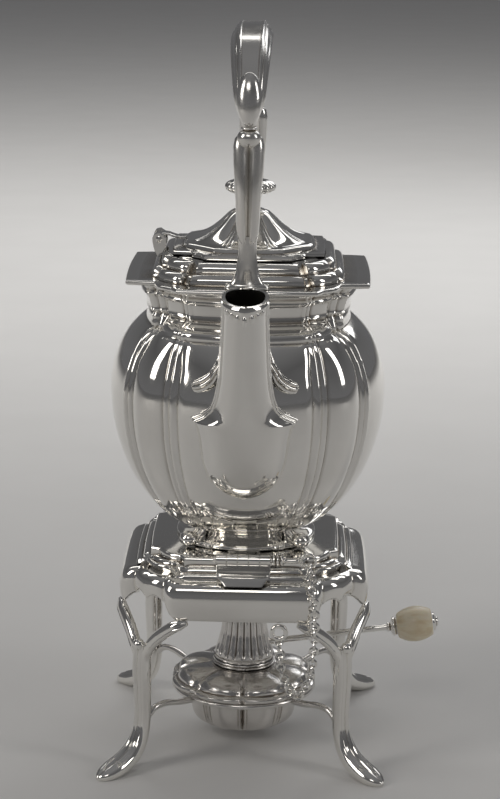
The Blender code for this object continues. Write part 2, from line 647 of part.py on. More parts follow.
# Safety chain from the ring of the pin to an eye under the front apron
def safety_chain(ring_centre):
    front = -(FRAME_HALF + CHAIN_RADIUS + 1.5 * MM)
    eye_back = -(HEM_HALF - SHEET / 2)
    eye_height = APRON_HEIGHT - GAP - EYE_RADIUS - EYE_WIRE
    keep(torus("chain_eye", EYE_RADIUS, EYE_WIRE, (EYE_ALONG, eye_back, eye_height),
               (math.pi / 2, 0, 0), 16, 6), STAND)
    ring_front = -HINGE_FORWARD - PIN_RING_WIRE - GAP - CHAIN_RADIUS
    eye_under = eye_height - EYE_RADIUS - EYE_WIRE - GAP
    route = [
        (ring_centre, ring_front, HINGE_HEIGHT - 1.5 * MM),
        (ring_centre + 1.2 * MM, -SHELF_HALF - 2.5 * MM, HINGE_HEIGHT - 2.4 * MM),
        (ring_centre + 2 * MM, front + 0.2 * MM, HINGE_HEIGHT - 9 * MM),
        (ring_centre + 3.2 * MM, front, APRON_HEIGHT + 8 * MM),
        (ring_centre + 3.4 * MM, front, APRON_HEIGHT - 3 * MM),
        (ring_centre + 3 * MM, front, APRON_HEIGHT - 12 * MM),
        (ring_centre + 1.8 * MM, front + 0.3 * MM, APRON_HEIGHT - 22 * MM),
        (ring_centre - 1.2 * MM, front + 1 * MM, APRON_HEIGHT - 30 * MM),
        (ring_centre - 4.4 * MM, front + 1.6 * MM, APRON_HEIGHT - 33 * MM),
        (ring_centre - 7.4 * MM, front + 2.2 * MM, APRON_HEIGHT - 29.5 * MM),
        (EYE_ALONG + 1.6 * MM, front + 3 * MM, APRON_HEIGHT - 22 * MM),
        (EYE_ALONG + 0.8 * MM, front + 3.8 * MM, APRON_HEIGHT - 15.5 * MM),
        (EYE_ALONG, eye_back, eye_under),
    ]
    keep(tube("safety_chain", smooth_route(route, 3), CHAIN_RADIUS, roundness=2), STAND)


def belly_plan():
    return scalloped(BELLY_HALF, BELLY_FRONT, PANEL_HALF, SIDE_PANEL_HALF, PANEL_CROWN,
                     FLUTE_DEPTH, FLUTE_DEPTH, LOBE_CROWN)[0]


def collar_plan():
    return scalloped(COLLAR_HALF, COLLAR_HALF + OBLONG / 2, COLLAR_PANEL_HALF, COLLAR_EAR_HALF, COLLAR_CROWN,
                     COLLAR_SIDE_NOTCH, COLLAR_FRONT_NOTCH, COLLAR_LOBE)[0]


def body_stations(inset=0.0):
    """(half width, height, share of collar plan) up the body: two quarter ovals and a cove."""
    stations = []
    for turn in np.radians((0, 18, 36, 54, 72, 90)):
        half = BASE_HALF + (BELLY_HALF - BASE_HALF) * math.sin(turn) ** BOWL_EASE
        stations.append((half, KETTLE_BASE + BELLY_RISE * (1 - math.cos(turn)), 0))
    for turn in np.radians((18, 36, 54, 72, 90)):
        half = NECK_HALF + (BELLY_HALF - NECK_HALF) * math.cos(turn) ** SHOULDER_EASE
        stations.append((half, BELLY + SHOULDER_RISE * math.sin(turn), max(0, math.sin(turn) - 0.5)))
    for share in (0.4, 0.75, 1):
        half = NECK_HALF + (RIM_HALF - NECK_HALF) * share ** 2
        stations.append((half, NECK + NECK_RISE * share, 0.5))
    lowest = KETTLE_BASE + inset
    return [(half - inset, max(height, lowest), share) for half, height, share in stations]


def body_rings(inset=0.0):
    belly, collar = belly_plan() / BELLY_HALF, collar_plan() / COLLAR_HALF
    rings = []
    for half, height, share in body_stations(inset):
        rings.append(ring_at((belly * (1 - share) + collar * share) * half, height))
    return rings


def body_course(first, last, foot):
    """Outer and inner rings of one course of the body, between two stations, lifted off the one below."""
    outside = body_rings()[first:last + 1]
    inside = body_rings(SHEET)[first:last + 1]
    for rings in (outside, inside):
        rings[0][:, 2] += foot
    return outside, inside


# Kettle body: a melon-lobed bowl pierced behind the spout, a shoulder, and a coved neck up to the rim
def kettle_body():
    outside, inside = body_course(0, 5, 0)
    bowl = loft("kettle_body", outside + inside[:0:-2] + inside[:1])
    bpy.ops.mesh.primitive_cylinder_add(
        vertices=16, radius=SPOUT_BORE, depth=BELLY_FRONT, rotation=(math.pi / 2, 0, 0),
        location=(0, -BELLY_FRONT, SPOUT_ROOT_HEIGHT))
    combine(bowl, bpy.context.object, "DIFFERENCE")
    keep(bowl, KETTLE)
    outside, inside = body_course(5, 10, GAP)
    keep(loft("kettle_shoulder", outside + inside[:0:-2] + inside[:1], closed=True), KETTLE)
    outside, inside = body_course(10, 13, GAP)
    keep(loft("kettle_neck", outside + inside[::-1], closed=True), KETTLE)


# Lobed foot ring under the kettle body
def kettle_foot():
    plan = belly_plan() / BELLY_HALF
    low = PLATFORM + GAP
    high = low + KETTLE_FOOT_HEIGHT
    stations = [(KETTLE_FOOT_HALF - SHEET, low), (KETTLE_FOOT_HALF, low + KETTLE_FOOT_HEIGHT * 0.4),
                (BASE_HALF + FOOT_FLARE * 0.4, low + KETTLE_FOOT_HEIGHT * 0.65), (BASE_HALF + SHEET, high),
                (BASE_HALF - FOOT_LAP, high), (BASE_HALF - FOOT_LAP, low)]
    rings = [ring_at(plan * half, height) for half, height in stations]
    keep(loft("kettle_foot", rings, closed=True), KETTLE)


# Collar: a flange with notched corners that steps up over two mouldings to the lid's seat
def kettle_collar():
    plan = collar_plan() / COLLAR_HALF
    step = FLANGE_TOP + MOULDING_RISE
    stations = [
        (MOUTH_HALF, COLLAR_BASE), (COLLAR_HALF - FLANGE_THICKNESS / 4, COLLAR_BASE),
        (COLLAR_HALF, COLLAR_BASE + FLANGE_THICKNESS * 0.4),
        (COLLAR_HALF - FLANGE_THICKNESS / 3, FLANGE_TOP), (MOULDING_FOOT, FLANGE_TOP),
        (LOWER_MOULDING_HALF, FLANGE_TOP + MOULDING_RISE * 0.6), (LOWER_MOULDING_HALF - MOULDING_ROUND, step),
        (UPPER_MOULDING_HALF + MOULDING_ROUND / 5, step), (UPPER_MOULDING_HALF, step + MOULDING_RISE * 0.6),
        (UPPER_MOULDING_HALF - MOULDING_ROUND, SEAT), (MOUTH_HALF, SEAT),
    ]
    rings = [ring_at(plan * half, height) for half, height in stations]
    keep(loft("kettle_collar", rings, closed=True), KETTLE)


def lid_rise(share):
    """Height of the dome's ogee over the lid's base, at a share of the way from its edge to the screw."""
    return LID_EDGE + LID_RISE * share ** 2 * (3 - 2 * share)


# Lid: an ogee dome, open below, with a screw hole under the finial
def lid():
    plan = collar_plan() / COLLAR_HALF
    hole = SCREW_RADIUS + RUN
    turn = np.arctan2(plan[:, 1], plan[:, 0])
    circle = np.column_stack([np.cos(turn), np.sin(turn)])

    def dome(inset, shares):
        rings = []
        for share in shares:
            half = LID_HALF - inset - (LID_HALF - hole) * share
            rings.append(ring_at(plan * half, LID_BASE + lid_rise(share) - inset))
        top = LID_APEX - inset
        return rings + [ring_at(circle * FINIAL_STEM_RADIUS * 1.3, top), ring_at(circle * hole, top)]

    rings = [ring_at(plan * LID_HALF, LID_BASE)] + dome(0, LID_SHARES) + dome(SHEET, LID_SHARES[:5:2])[::-1]
    rings.append(ring_at(plan * (LID_HALF - SHEET), LID_BASE))
    keep(loft("lid", rings, closed=True), LID)


# Finial: a reeded button on a stem, screwed through the lid to a nut
def finial():
    foot = LID_APEX + GAP
    top = foot + FINIAL_STEM_HEIGHT
    nut_top = LID_APEX - SHEET - GAP
    stem = turned("finial_stem", [
        (0, top), (FINIAL_STEM_RADIUS * 0.7, top), (FINIAL_STEM_RADIUS * 0.7, foot + FINIAL_STEM_HEIGHT / 3),
        (FINIAL_STEM_RADIUS, foot), (SCREW_RADIUS, foot), (SCREW_RADIUS, nut_top - NUT_HEIGHT),
        (0, nut_top - NUT_HEIGHT)], 16)
    keep(stem, LID)
    centre = top + GAP + FINIAL_HALF_HEIGHT
    profile = [(0, centre + FINIAL_HALF_HEIGHT)]
    for turn in np.radians((25, 50, 72, 90, 108, 130, 155)):
        profile.append((FINIAL_RADIUS * math.sin(turn), centre + FINIAL_HALF_HEIGHT * math.cos(turn)))
    profile.append((0, centre - FINIAL_HALF_HEIGHT))
    keep(turned("finial", profile, 20), LID)
    bore = SCREW_RADIUS + GAP
    keep(turned("finial_nut", [(NUT_RADIUS, nut_top), (NUT_RADIUS, nut_top - NUT_HEIGHT),
                               (bore, nut_top - NUT_HEIGHT), (bore, nut_top)], 6, ring=True), LID)


# Lid hinge: a lug with two knuckles on the collar, a leaf with one on the lid, and a pin
def lid_hinge():
    axis, height = LID_AXIS[0], LID_AXIS[2]
    bore = LID_PIN_RADIUS + RUN
    half = LID_HINGE_LENGTH / 2
    leaf_half = LID_HINGE_LENGTH * 0.24
    lug = box("lid_hinge_lug", (axis - LID_KNUCKLE_RADIUS, SET_BACK - half, LID_BASE),
              (axis + LID_KNUCKLE_RADIUS, half - SET_BACK, LID_BASE + LEAF_THICKNESS))
    lap = LID_SHARES[1]
    leaf_end = -LID_HALF + (LID_HALF - SCREW_RADIUS - RUN) * lap
    leaf = box("lid_hinge_leaf", (axis + bore + GAP, SET_BACK - leaf_half, LID_BASE + lid_rise(lap) + GAP),
               (leaf_end, leaf_half - SET_BACK, height + LEAF_THICKNESS / 2))
    for start, end in ((-half, -leaf_half - GAP), (leaf_half + GAP, half)):
        barrel = knuckle("lug_knuckle", LID_KNUCKLE_RADIUS, bore, start, end)
        barrel.data.transform(Matrix.Rotation(math.pi / 2, 4, "Z"))
        barrel.location = LID_AXIS
        combine(lug, barrel, "UNION")
        post = box("lug_post",
                   (axis - LID_KNUCKLE_RADIUS * 0.6, start + 2 * SET_BACK, LID_BASE + LEAF_THICKNESS / 2),
                   (axis + LID_KNUCKLE_RADIUS * 0.6, end - 2 * SET_BACK, height - bore - GAP))
        combine(lug, post, "UNION")
    barrel = knuckle("leaf_knuckle", LID_KNUCKLE_RADIUS, bore, -leaf_half, leaf_half)
    barrel.data.transform(Matrix.Rotation(math.pi / 2, 4, "Z"))
    barrel.location = LID_AXIS
    combine(leaf, barrel, "UNION")
    keep(lug, KETTLE)
    keep(leaf, LID)
    pin = turned("lid_hinge_pin", [(0, half), (LID_PIN_RADIUS, half), (LID_PIN_RADIUS, -half), (0, -half)],
                 12)
    pin.rotation_euler.x = math.pi / 2
    pin.location = LID_AXIS
    keep(pin, KETTLE)


# Spout: a tapering tube from the front panel up to a slanting mouth
def spout():
    rise = SPOUT_MOUTH_HEIGHT - SPOUT_ROOT_HEIGHT
    depth = SPOUT_ROOT_DEPTH
    stations = [
        (BELLY_FRONT - depth * 0.95, SPOUT_ROOT_HEIGHT - rise * 0.05, SPOUT_ROOT_HALF * 0.85, depth),
        (BELLY_FRONT, SPOUT_ROOT_HEIGHT, SPOUT_ROOT_HALF, depth),
        (BELLY_FRONT + SPOUT_REACH * 0.36, SPOUT_ROOT_HEIGHT + rise * 0.14, SPOUT_ROOT_HALF * 1.03,
         depth * 0.87),
        (BELLY_FRONT + SPOUT_REACH * 0.54, SPOUT_ROOT_HEIGHT + rise * 0.26, SPOUT_WING_HALF, depth * 0.76),
        (BELLY_FRONT + SPOUT_REACH * 0.63, SPOUT_ROOT_HEIGHT + rise * 0.34, SPOUT_WAIST_HALF * 1.4,
         depth * 0.68),
        (BELLY_FRONT + SPOUT_REACH * 0.71, SPOUT_ROOT_HEIGHT + rise * 0.42, SPOUT_WAIST_HALF * 1.13,
         depth * 0.6),
        (BELLY_FRONT + SPOUT_REACH * 0.87, SPOUT_ROOT_HEIGHT + rise * 0.75, SPOUT_WAIST_HALF * 0.91,
         SPOUT_MOUTH_DEPTH * 1.09),
        (SPOUT_MOUTH_FORWARD, SPOUT_MOUTH_HEIGHT, SPOUT_MOUTH_HALF, SPOUT_MOUTH_DEPTH),
    ]
    stations = smooth_route(stations, 2)
    thinner = stations - np.array((0, 0, SPOUT_WALL, SPOUT_WALL))
    rings = np.concatenate([sweep_rings(stations, 16), sweep_rings(thinner, 16)[::-1]])
    pipe = loft("spout", rings, closed=True)
    pipe.data.transform(Matrix.Rotation(-math.pi / 2, 4, "Z"))
    combine(pipe, loft("spout_seat", body_rings(-GAP)), "DIFFERENCE")
    keep(pipe, KETTLE)


# Handle: a fixed arch over the lid, from a socket at the front of the collar to one at the rear
def handle():
    foot = FLANGE_TOP + GAP
    for end, heading in (("front", -math.pi / 2), ("rear", math.pi / 2)):
        socket = [(HANDLE_SPAN, foot, SOCKET_FOOT_HALF, SOCKET_DEPTH),
                  (HANDLE_SPAN, foot + SOCKET_HEIGHT * 0.2, SOCKET_FOOT_HALF * 0.62, SOCKET_DEPTH),
                  (HANDLE_SPAN, foot + SOCKET_HEIGHT * 0.5, SOCKET_STEM_HALF, SOCKET_DEPTH * 0.92),
                  (HANDLE_SPAN, SOCKET_TOP, SOCKET_STEM_HALF * 0.95, SOCKET_DEPTH * 0.92)]
        shaft_foot = SOCKET_TOP + GAP
        shaft = [(HANDLE_SPAN, shaft_foot, SHAFT_BOTTOM_HALF, SHAFT_DEPTH),
                 (HANDLE_SPAN + SHAFT_BOW, shaft_foot + HANDLE_SHAFT_LENGTH * 0.4, SHAFT_BOTTOM_HALF * 1.1,
                  SHAFT_DEPTH),
                 (HANDLE_SPAN + SHAFT_BOW / 2, shaft_foot + HANDLE_SHAFT_LENGTH * 0.75, SHAFT_TOP_HALF,
                  SHAFT_DEPTH * 1.1),
                 (HANDLE_SPAN, SHAFT_TOP, SHAFT_TOP_HALF * 0.8, SHAFT_DEPTH)]
        for name, stations in (("handle_socket_", socket), ("handle_shaft_", shaft)):
            piece = loft(name + end, level_ends(sweep_rings(smooth_route(stations, 2), 12)))
            piece.rotation_euler.z = heading
            keep(piece, KETTLE)
        bpy.ops.mesh.primitive_uv_sphere_add(segments=12, ring_count=8, radius=HANDLE_BEAD_RADIUS)
        bead = bpy.context.object
        bead.name = "handle_bead_" + end
        bead.data.shade_smooth()
        bead.location = (0, HANDLE_SPAN * math.copysign(1, heading), HANDLE_BEAD)
        keep(bead, KETTLE)

    crown = GRIP_RISE - GRIP_THICKNESS / 2
    stations = []
    for turn in np.radians(np.linspace(0, 180, 13)):
        swell = math.sin(turn) ** 0.8
        reach = HANDLE_SPAN * math.copysign(abs(math.cos(turn)) ** 0.75, math.cos(turn))
        stations.append((reach, GRIP_FOOT + crown * math.sin(turn) ** 0.75,
                         BOSS_HALF + (GRIP_HALF - BOSS_HALF) * swell,
                         GRIP_THICKNESS / 2 * (0.62 + 0.38 * swell)))
    grip = loft("handle_grip", level_ends(sweep_rings(stations, 12)))
    for side in (-1, 1):
        bpy.ops.mesh.primitive_uv_sphere_add(segments=10, ring_count=6, radius=1)
        boss = bpy.context.object
        boss.name = "scroll_boss"
        boss.data.transform(Matrix.Diagonal((BOSS_DEPTH, BOSS_HALF, BOSS_LENGTH / 2, 1)))
        boss.location = (side * (HANDLE_SPAN + BOSS_DEPTH * 0.4), 0, GRIP_FOOT + BOSS_LENGTH * 0.55)
        boss.rotation_euler.y = side * math.radians(-12)
        combine(grip, boss, "UNION")
    grip = as_mesh(grip)
    grip.rotation_euler.z = math.pi / 2
    grip.data.shade_smooth()
    keep(grip, KETTLE)


def level_ends(rings):
    """Lay the first and last ring of a sweep level, so that the piece stands square on its neighbour."""
    for index in (0, -1):
        rings[index, :, 2] = rings[index, :, 2].mean()
    return rings


# Burner: bowl, domed top and collar, with the wick tube through them
def burner():
    low = BURNER_RIM - BURNER_BOWL_DEPTH
    swell = BURNER_BOWL_RADIUS - BURNER_BASE_RADIUS
    outer = []
    for turn in np.radians((90, 68, 46, 24, 0)):
        outer.append((BURNER_BASE_RADIUS + swell * math.sin(turn) ** 0.35,
                      BURNER_RIM - GAP - (BURNER_BOWL_DEPTH - GAP) * math.cos(turn)))
    inner = [(radius - SHEET, max(height, low + SHEET)) for radius, height in reversed(outer)]
    bowl = [(0, low + SHEET)] + inner + outer + [(0, low)]
    keep(turned("burner_bowl", bowl), BURNER)

    bore = WICK_TUBE_RADIUS + GAP
    rim_top = BURNER_RIM + BURNER_RIM_HEIGHT
    edge = BURNER_RIM_RADIUS - BURNER_RIM_HEIGHT * 0.4
    dome = []
    for share in (0, 0.4, 0.65, 0.85, 1):
        radius = BURNER_NECK_RADIUS + (edge - BURNER_NECK_RADIUS) * share
        dome.append((radius, rim_top + BURNER_DOME_RISE * (1 - share ** 4)))
    under = [(radius - SHEET * 0.5, height - SHEET) for radius, height in reversed(dome)]
    inside = BURNER_BOWL_RADIUS - SHEET
    top = dome + [(BURNER_RIM_RADIUS, rim_top - BURNER_RIM_HEIGHT / 2), (edge, BURNER_RIM),
                  (inside, BURNER_RIM), (inside, BURNER_RIM + SHEET)]
    top += under + [(bore, BURNER_NECK - SHEET), (bore, BURNER_NECK)]
    keep(turned("burner_top", top, ring=True), BURNER)

    base = BURNER_NECK + GAP
    high = base + BURNER_COLLAR_HEIGHT
    flat = BURNER_COLLAR_RADIUS - BURNER_COLLAR_HEIGHT * 0.3
    keep(turned("burner_collar", [
        (flat, high), (BURNER_COLLAR_RADIUS, high - BURNER_COLLAR_HEIGHT / 2), (flat, base), (bore, base),
        (bore, high)], ring=True), BURNER)

    tube_low = low + SHEET + WICK_FOOT
    tube_high = GALLERY_TOP - TUBE_DROP
    inner_radius = WICK_TUBE_RADIUS - WICK_TUBE_WALL
    keep(turned("wick_tube", [(WICK_TUBE_RADIUS, tube_high), (WICK_TUBE_RADIUS, tube_low),
                              (inner_radius, tube_low), (inner_radius, tube_high)], 16, ring=True), BURNER)
    carrier_low = GALLERY_BASE
    carrier_high = carrier_low + CARRIER_LENGTH
    keep(turned("wick_carrier", [
        (inner_radius - RUN, carrier_high), (inner_radius - RUN, carrier_low),
        (WICK_RADIUS + GAP, carrier_low), (WICK_RADIUS + GAP, carrier_high)], 16, ring=True),
        WICK, DARK_SILVER)
    wick_low = tube_low + WICK_FOOT
    wick_high = tube_high + WICK_PROUD
    keep(turned("wick", [
        (0, wick_high), (WICK_RADIUS * 0.8, wick_high), (WICK_RADIUS, wick_high - WICK_RADIUS * 0.4),
        (WICK_RADIUS, wick_low), (0, wick_low)], 12), WICK, COTTON)


# Regulator: the gadrooned gallery round the wick, and the lever that turns it
def regulator():
    def wall(share):
        return GALLERY_FOOT_RADIUS - GALLERY_TAPER * share ** 0.8

    outer = [(wall(share), GALLERY_BASE + GALLERY_HEIGHT * share) for share in (1, 0.7, 0.4, 0.15, 0)]
    inner = [(radius - SHEET, height) for radius, height in reversed(outer)]
    keep(turned("gallery", outer + inner, ring=True), REGULATOR)

    height = GALLERY_BASE + LEVER_ROOT_RISE
    root = wall((LEVER_ROOT_RISE - LEVER_WIRE) / GALLERY_HEIGHT) + GAP
    aim = Vector((math.cos(LEVER_SLOPE), 0, math.sin(LEVER_SLOPE)))
    start = Vector((root, 0, height))
    length = (LEVER_REACH - root) / aim.x
    end = start + aim * length
    keep(tube("lever_rod", [start, start + aim * length / 2, end], LEVER_WIRE), REGULATOR)

    ferrule = [(0, FERRULE_LENGTH), (FERRULE_RADIUS * 0.85, FERRULE_LENGTH),
               (FERRULE_RADIUS, FERRULE_LENGTH * 0.5), (FERRULE_RADIUS * 0.7, 0), (0, 0)]
    knob = []
    for share, swell in ((1, 0.66), (0.8, 0.9), (0.5, 1), (0.2, 0.9), (0, 0.66)):
        knob.append((KNOB_RADIUS * swell, KNOB_LENGTH * share))
    knob = [(0, KNOB_LENGTH)] + knob + [(0, 0)]
    cap = [(0, CAP_LENGTH), (KNOB_RADIUS * 0.3, CAP_LENGTH * 0.8), (KNOB_RADIUS * 0.5, CAP_LENGTH * 0.35),
           (KNOB_RADIUS * 0.5, 0), (0, 0)]
    for name, profile, long, finish in (("lever_ferrule", ferrule, FERRULE_LENGTH, SILVER),
                                        ("lever_knob", knob, KNOB_LENGTH, IVORY),
                                        ("knob_cap", cap, CAP_LENGTH, SILVER)):
        end = end + aim * GAP
        piece = turned(name, profile, 20)
        piece.location = end
        piece.rotation_euler.y = math.pi / 2 - LEVER_SLOPE
        keep(piece, REGULATOR, finish)
        end = end + aim * long


def centre_on_floor():
    """Move the root so that the origin lies on the floor, under the middle of the whole box."""
    bpy.context.view_layer.update()
    view = bpy.context.evaluated_depsgraph_get()
    points = []
    for obj in PARTS.objects:
        if obj.type != "EMPTY":
            shape = obj.evaluated_get(view)
            points += [obj.matrix_world @ vertex.co for vertex in shape.to_mesh().vertices]
            shape.to_mesh_clear()
    for axis in (0, 1):
        spread = [point[axis] for point in points]
        ROOT.location[axis] = -(min(spread) + max(spread)) / 2


stand_frame()
legs()
burner_ring()
safety_chain(tilt_hinge())
kettle_body()
kettle_foot()
kettle_collar()
spout()
handle()
lid()
finial()
lid_hinge()
burner()
regulator()
centre_on_floor()
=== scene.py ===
# %% [markdown]
# # A silver spirit kettle on its stand
# The kettle is raised from sheet silver in eight lobes, and tilts on a hinge at the front of a footed stand.
# A spirit burner hangs in a wire ring under it. The solids give every place and every joint, so this lesson
# only has to draw each piece finer, in millimetres about the kettle's own upright axis, and to polish it.

# %% load the solids
import math

import bmesh
import bpy
import numpy as np
from mathutils import Matrix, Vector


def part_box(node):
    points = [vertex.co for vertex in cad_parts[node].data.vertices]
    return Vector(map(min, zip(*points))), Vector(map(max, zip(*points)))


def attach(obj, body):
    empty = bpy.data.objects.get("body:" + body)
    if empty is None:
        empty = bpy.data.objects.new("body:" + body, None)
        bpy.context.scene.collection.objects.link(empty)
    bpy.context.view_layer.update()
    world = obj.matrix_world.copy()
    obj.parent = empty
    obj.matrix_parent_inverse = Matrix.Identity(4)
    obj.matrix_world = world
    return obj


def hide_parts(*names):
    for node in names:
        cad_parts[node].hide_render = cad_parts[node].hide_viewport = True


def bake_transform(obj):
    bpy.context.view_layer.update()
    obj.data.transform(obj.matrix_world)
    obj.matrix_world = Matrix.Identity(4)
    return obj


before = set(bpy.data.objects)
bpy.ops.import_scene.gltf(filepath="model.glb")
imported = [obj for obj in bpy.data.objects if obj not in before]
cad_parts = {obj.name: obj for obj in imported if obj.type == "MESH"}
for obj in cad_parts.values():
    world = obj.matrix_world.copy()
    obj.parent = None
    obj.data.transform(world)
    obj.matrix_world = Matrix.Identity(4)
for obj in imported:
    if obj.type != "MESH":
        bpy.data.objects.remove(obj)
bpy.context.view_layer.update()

MM = 0.001
TAU = 2 * math.pi
SCENE = bpy.context.scene
ring_low, ring_high = (np.array(corner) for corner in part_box("burner_ring"))
AXIS = (ring_low + ring_high) / 2 * (1, 1, 0)
print("kettle axis at", AXIS.round(4), "and", len(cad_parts), "solids")

# %% [markdown]
# ## Surfaces as grids of points
# Each piece is a function of two parameters, worked out on a whole grid at once. One parameter goes round the
# piece, the other goes along it. A skin over such a grid closes at both ends on a point, or joins its last
# ring to its first where the piece is a wall with an inside.


# %% grid tools
def unit(vectors):
    """Vectors of length one: each over its own length."""
    vectors = np.asarray(vectors, float)
    return vectors / np.linalg.norm(vectors, axis=-1, keepdims=True)


def full_turn(count):
    """The angles of a count of equal steps once round."""
    return np.linspace(0, TAU, count, endpoint=False)


def shares(count):
    """A count of equal steps from 0 up to 1, with 1 itself left out."""
    return np.linspace(0, 1, count, endpoint=False)


def grade(value, start, end):
    """0 before the start, 1 past the end, and the share of the way in between."""
    return np.clip((value - start) / (end - start), 0, 1)


def bump(at, middle, width, rise=1.0):
    """A small moulding: rise times the bell curve of the distance from its middle over its width."""
    return rise * np.exp(-((at - middle) / width) ** 2)


def skin(*grids, loop=False):
    """Quads between neighbouring rings of grids that follow each other. Without a loop, each end ring closes
    on its own middle point."""
    rings = np.concatenate(grids)
    if not loop:
        first, last = (np.broadcast_to(ring.mean(0), (1, *ring.shape)) for ring in (rings[0], rings[-1]))
        rings = np.concatenate([first, rings, last])
    rows, columns = rings.shape[:2]
    row = np.arange(rows if loop else rows - 1)[:, None]
    column = np.arange(columns)[None, :]
    here, above = row * columns, (row + 1) % rows * columns
    beside = (column + 1) % columns
    quads = np.stack([here + column, here + beside, above + beside, above + column], axis=-1)
    return rings.reshape(-1, 3), quads.reshape(-1, 4)


def smooth(points, steps=6):
    """Points on a curve through the given ones: each span weighs its four neighbours by cubic shares."""
    knots = np.asarray(points, float)
    knots = np.vstack([2 * knots[0] - knots[1], knots, 2 * knots[-1] - knots[-2]])
    t = shares(steps)[None, :, None]
    a, b, c, d = (knots[i:len(knots) - 3 + i, None] for i in range(4))
    curve = (2 * b + (c - a) * t + (2 * a - 5 * b + 4 * c - d) * t ** 2
             + (3 * b - a - 3 * c + d) * t ** 3) / 2
    return np.vstack([curve.reshape(-1, knots.shape[1]), knots[-2]])


def carry(path, section, up=(0, 0, 1)):
    """A profile carried along a path: point = path + across * side + out * lift, where side is square to the
    path and to the direction up, and lift is square to both. On a path in one plane, the plane's own normal
    can be up: then lift is that normal and never turns over."""
    ahead = unit(np.gradient(path, axis=0))
    side = unit(np.cross(ahead, up))
    lift = np.cross(side, ahead)
    return path[:, None] + section[..., :1] * side[:, None] + section[..., 1:] * lift[:, None]


def oval(half_width, half_depth, sides=16, power=1.0):
    """Ovals with those half sizes, one per row: cosine and sine, each raised to a power that squares them."""
    turn = full_turn(sides)
    across, out = (np.sign(f) * np.abs(f) ** power for f in (np.cos(turn), np.sin(turn)))
    width, depth = (np.reshape(half, (-1, 1)) for half in (half_width, half_depth))
    return np.stack(np.broadcast_arrays(width * across, depth * out), axis=-1)


def spin(profile, sides=48, wave=0.0):
    """A turned surface: each (radius, height) of the profile goes once round, its radius changed by the wave,
    which is a number or has one value for each step round."""
    turn = full_turn(sides)
    radius, height = np.transpose(profile)
    radius = radius[:, None] + np.broadcast_to(wave, (len(radius), sides))
    return np.stack([radius * np.cos(turn), radius * np.sin(turn),
                     np.broadcast_to(height[:, None], radius.shape)], axis=-1)


def wire(path, radius, sides=12, up=(0, 0, 1)):
    """A round wire along a path, its radius one number or one for each point."""
    return carry(path, oval(radius, radius, sides), up)


def aim(points, place, along, up=(0, 0, 1)):
    """Points drawn about Z, turned so that Z points along a direction, and moved to a place."""
    along = unit(along)
    side = unit(np.cross(up, along))
    return points @ np.stack([side, np.cross(along, side), along]) + place


def about_axis(grid, degrees):
    """A grid turned about the upright axis."""
    c, s = math.cos(math.radians(degrees)), math.sin(math.radians(degrees))
    return grid @ np.array(((c, s, 0), (-s, c, 0), (0, 0, 1)))


def ellipsoid(place, halves, lean=0.0, rows=22, sides=36):
    """An oval cabochon: a sphere's grid stretched to three half sizes, leaned about X and moved."""
    rise, turn = np.linspace(0, math.pi, rows)[1:-1, None], full_turn(sides)
    ball = np.stack([np.sin(rise) * np.cos(turn), np.sin(rise) * np.sin(turn), np.cos(rise) + 0 * turn],
                    axis=-1)
    c, s = math.cos(lean), math.sin(lean)
    return (ball * halves) @ np.array(((1, 0, 0), (0, c, s), (0, -s, c))) + place


print("grid tools ready")

# %% [markdown]
# ## From grids to pieces
# A piece joins its grids into one mesh, welds the poles and turns its faces outwards. Old silver darkens in
# its hollows, so every point also gets a number, "hollow": how sharply the surface bends in there. It is the
# mean over the edges at that point of the rise along the normal over the length squared.

# %% piece maker
SHORTEST_EDGE = 0.1
WELD = 0.002 * MM


def read(items, name, width, kind=float):
    """One named value of every item, as rows of that width."""
    values = np.empty(len(items) * width, kind)
    items.foreach_get(name, values)
    return values.reshape(-1, width)


def hollows(mesh):
    """Store "hollow": the mean of (edge . normal) / length squared, smoothed over the neighbours."""
    count = len(mesh.vertices)
    place = read(mesh.vertices, "co", 3) / MM
    normal = read(mesh.vertex_normals, "vector", 3)
    a, b = read(mesh.edges, "vertices", 2, int).T
    edge = place[b] - place[a]
    squared = np.maximum((edge ** 2).sum(1), SHORTEST_EDGE ** 2)

    def gather(from_b, from_a):
        """Sum what reaches each point over its edges."""
        return np.bincount(a, from_b, count) + np.bincount(b, from_a, count)

    share = np.maximum(gather(np.ones(len(a)), np.ones(len(a))), 1)
    bend = gather((edge * normal[a]).sum(1) / squared, -(edge * normal[b]).sum(1) / squared) / share
    for _ in range(2):
        bend = (bend + gather(bend[b], bend[a]) / share) / 2
    mesh.attributes.new("hollow", "FLOAT", "POINT").data.foreach_set("value", bend.astype(np.float32))


def placed(name, data):
    """A new object with that data, in the scene."""
    obj = bpy.data.objects.new(name, data)
    SCENE.collection.objects.link(obj)
    return obj


def piece(name, skins, body, *nodes, finish=None, slot="silver", sharp=38):
    """One mesh of several skins, welded, faced outwards, shaded smooth, riding on its body for its solids.
    Its finish is polished silver unless another is given."""
    starts = np.cumsum([0] + [len(points) for points, _ in skins])
    points = np.concatenate([points for points, _ in skins]) * MM + AXIS
    quads = np.concatenate([quads + start for (_, quads), start in zip(skins, starts)])
    mesh = bpy.data.meshes.new(name)
    mesh.from_pydata(points.tolist(), [], quads.tolist())
    shape = bmesh.new()
    shape.from_mesh(mesh)
    bmesh.ops.remove_doubles(shape, verts=shape.verts, dist=WELD)
    bmesh.ops.recalc_face_normals(shape, faces=shape.faces)
    shape.to_mesh(mesh)
    shape.free()
    mesh.shade_smooth()
    mesh.set_sharp_from_angle(angle=math.radians(sharp))
    hollows(mesh)
    mesh.materials.append(finish or POLISHED)
    obj = placed(name, mesh)
    if body:
        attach(obj, body)
    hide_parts(*nodes)
    print(name, "has", sum(len(face.vertices) - 2 for face in mesh.polygons), "triangles")
    return obj


print("piece maker ready")

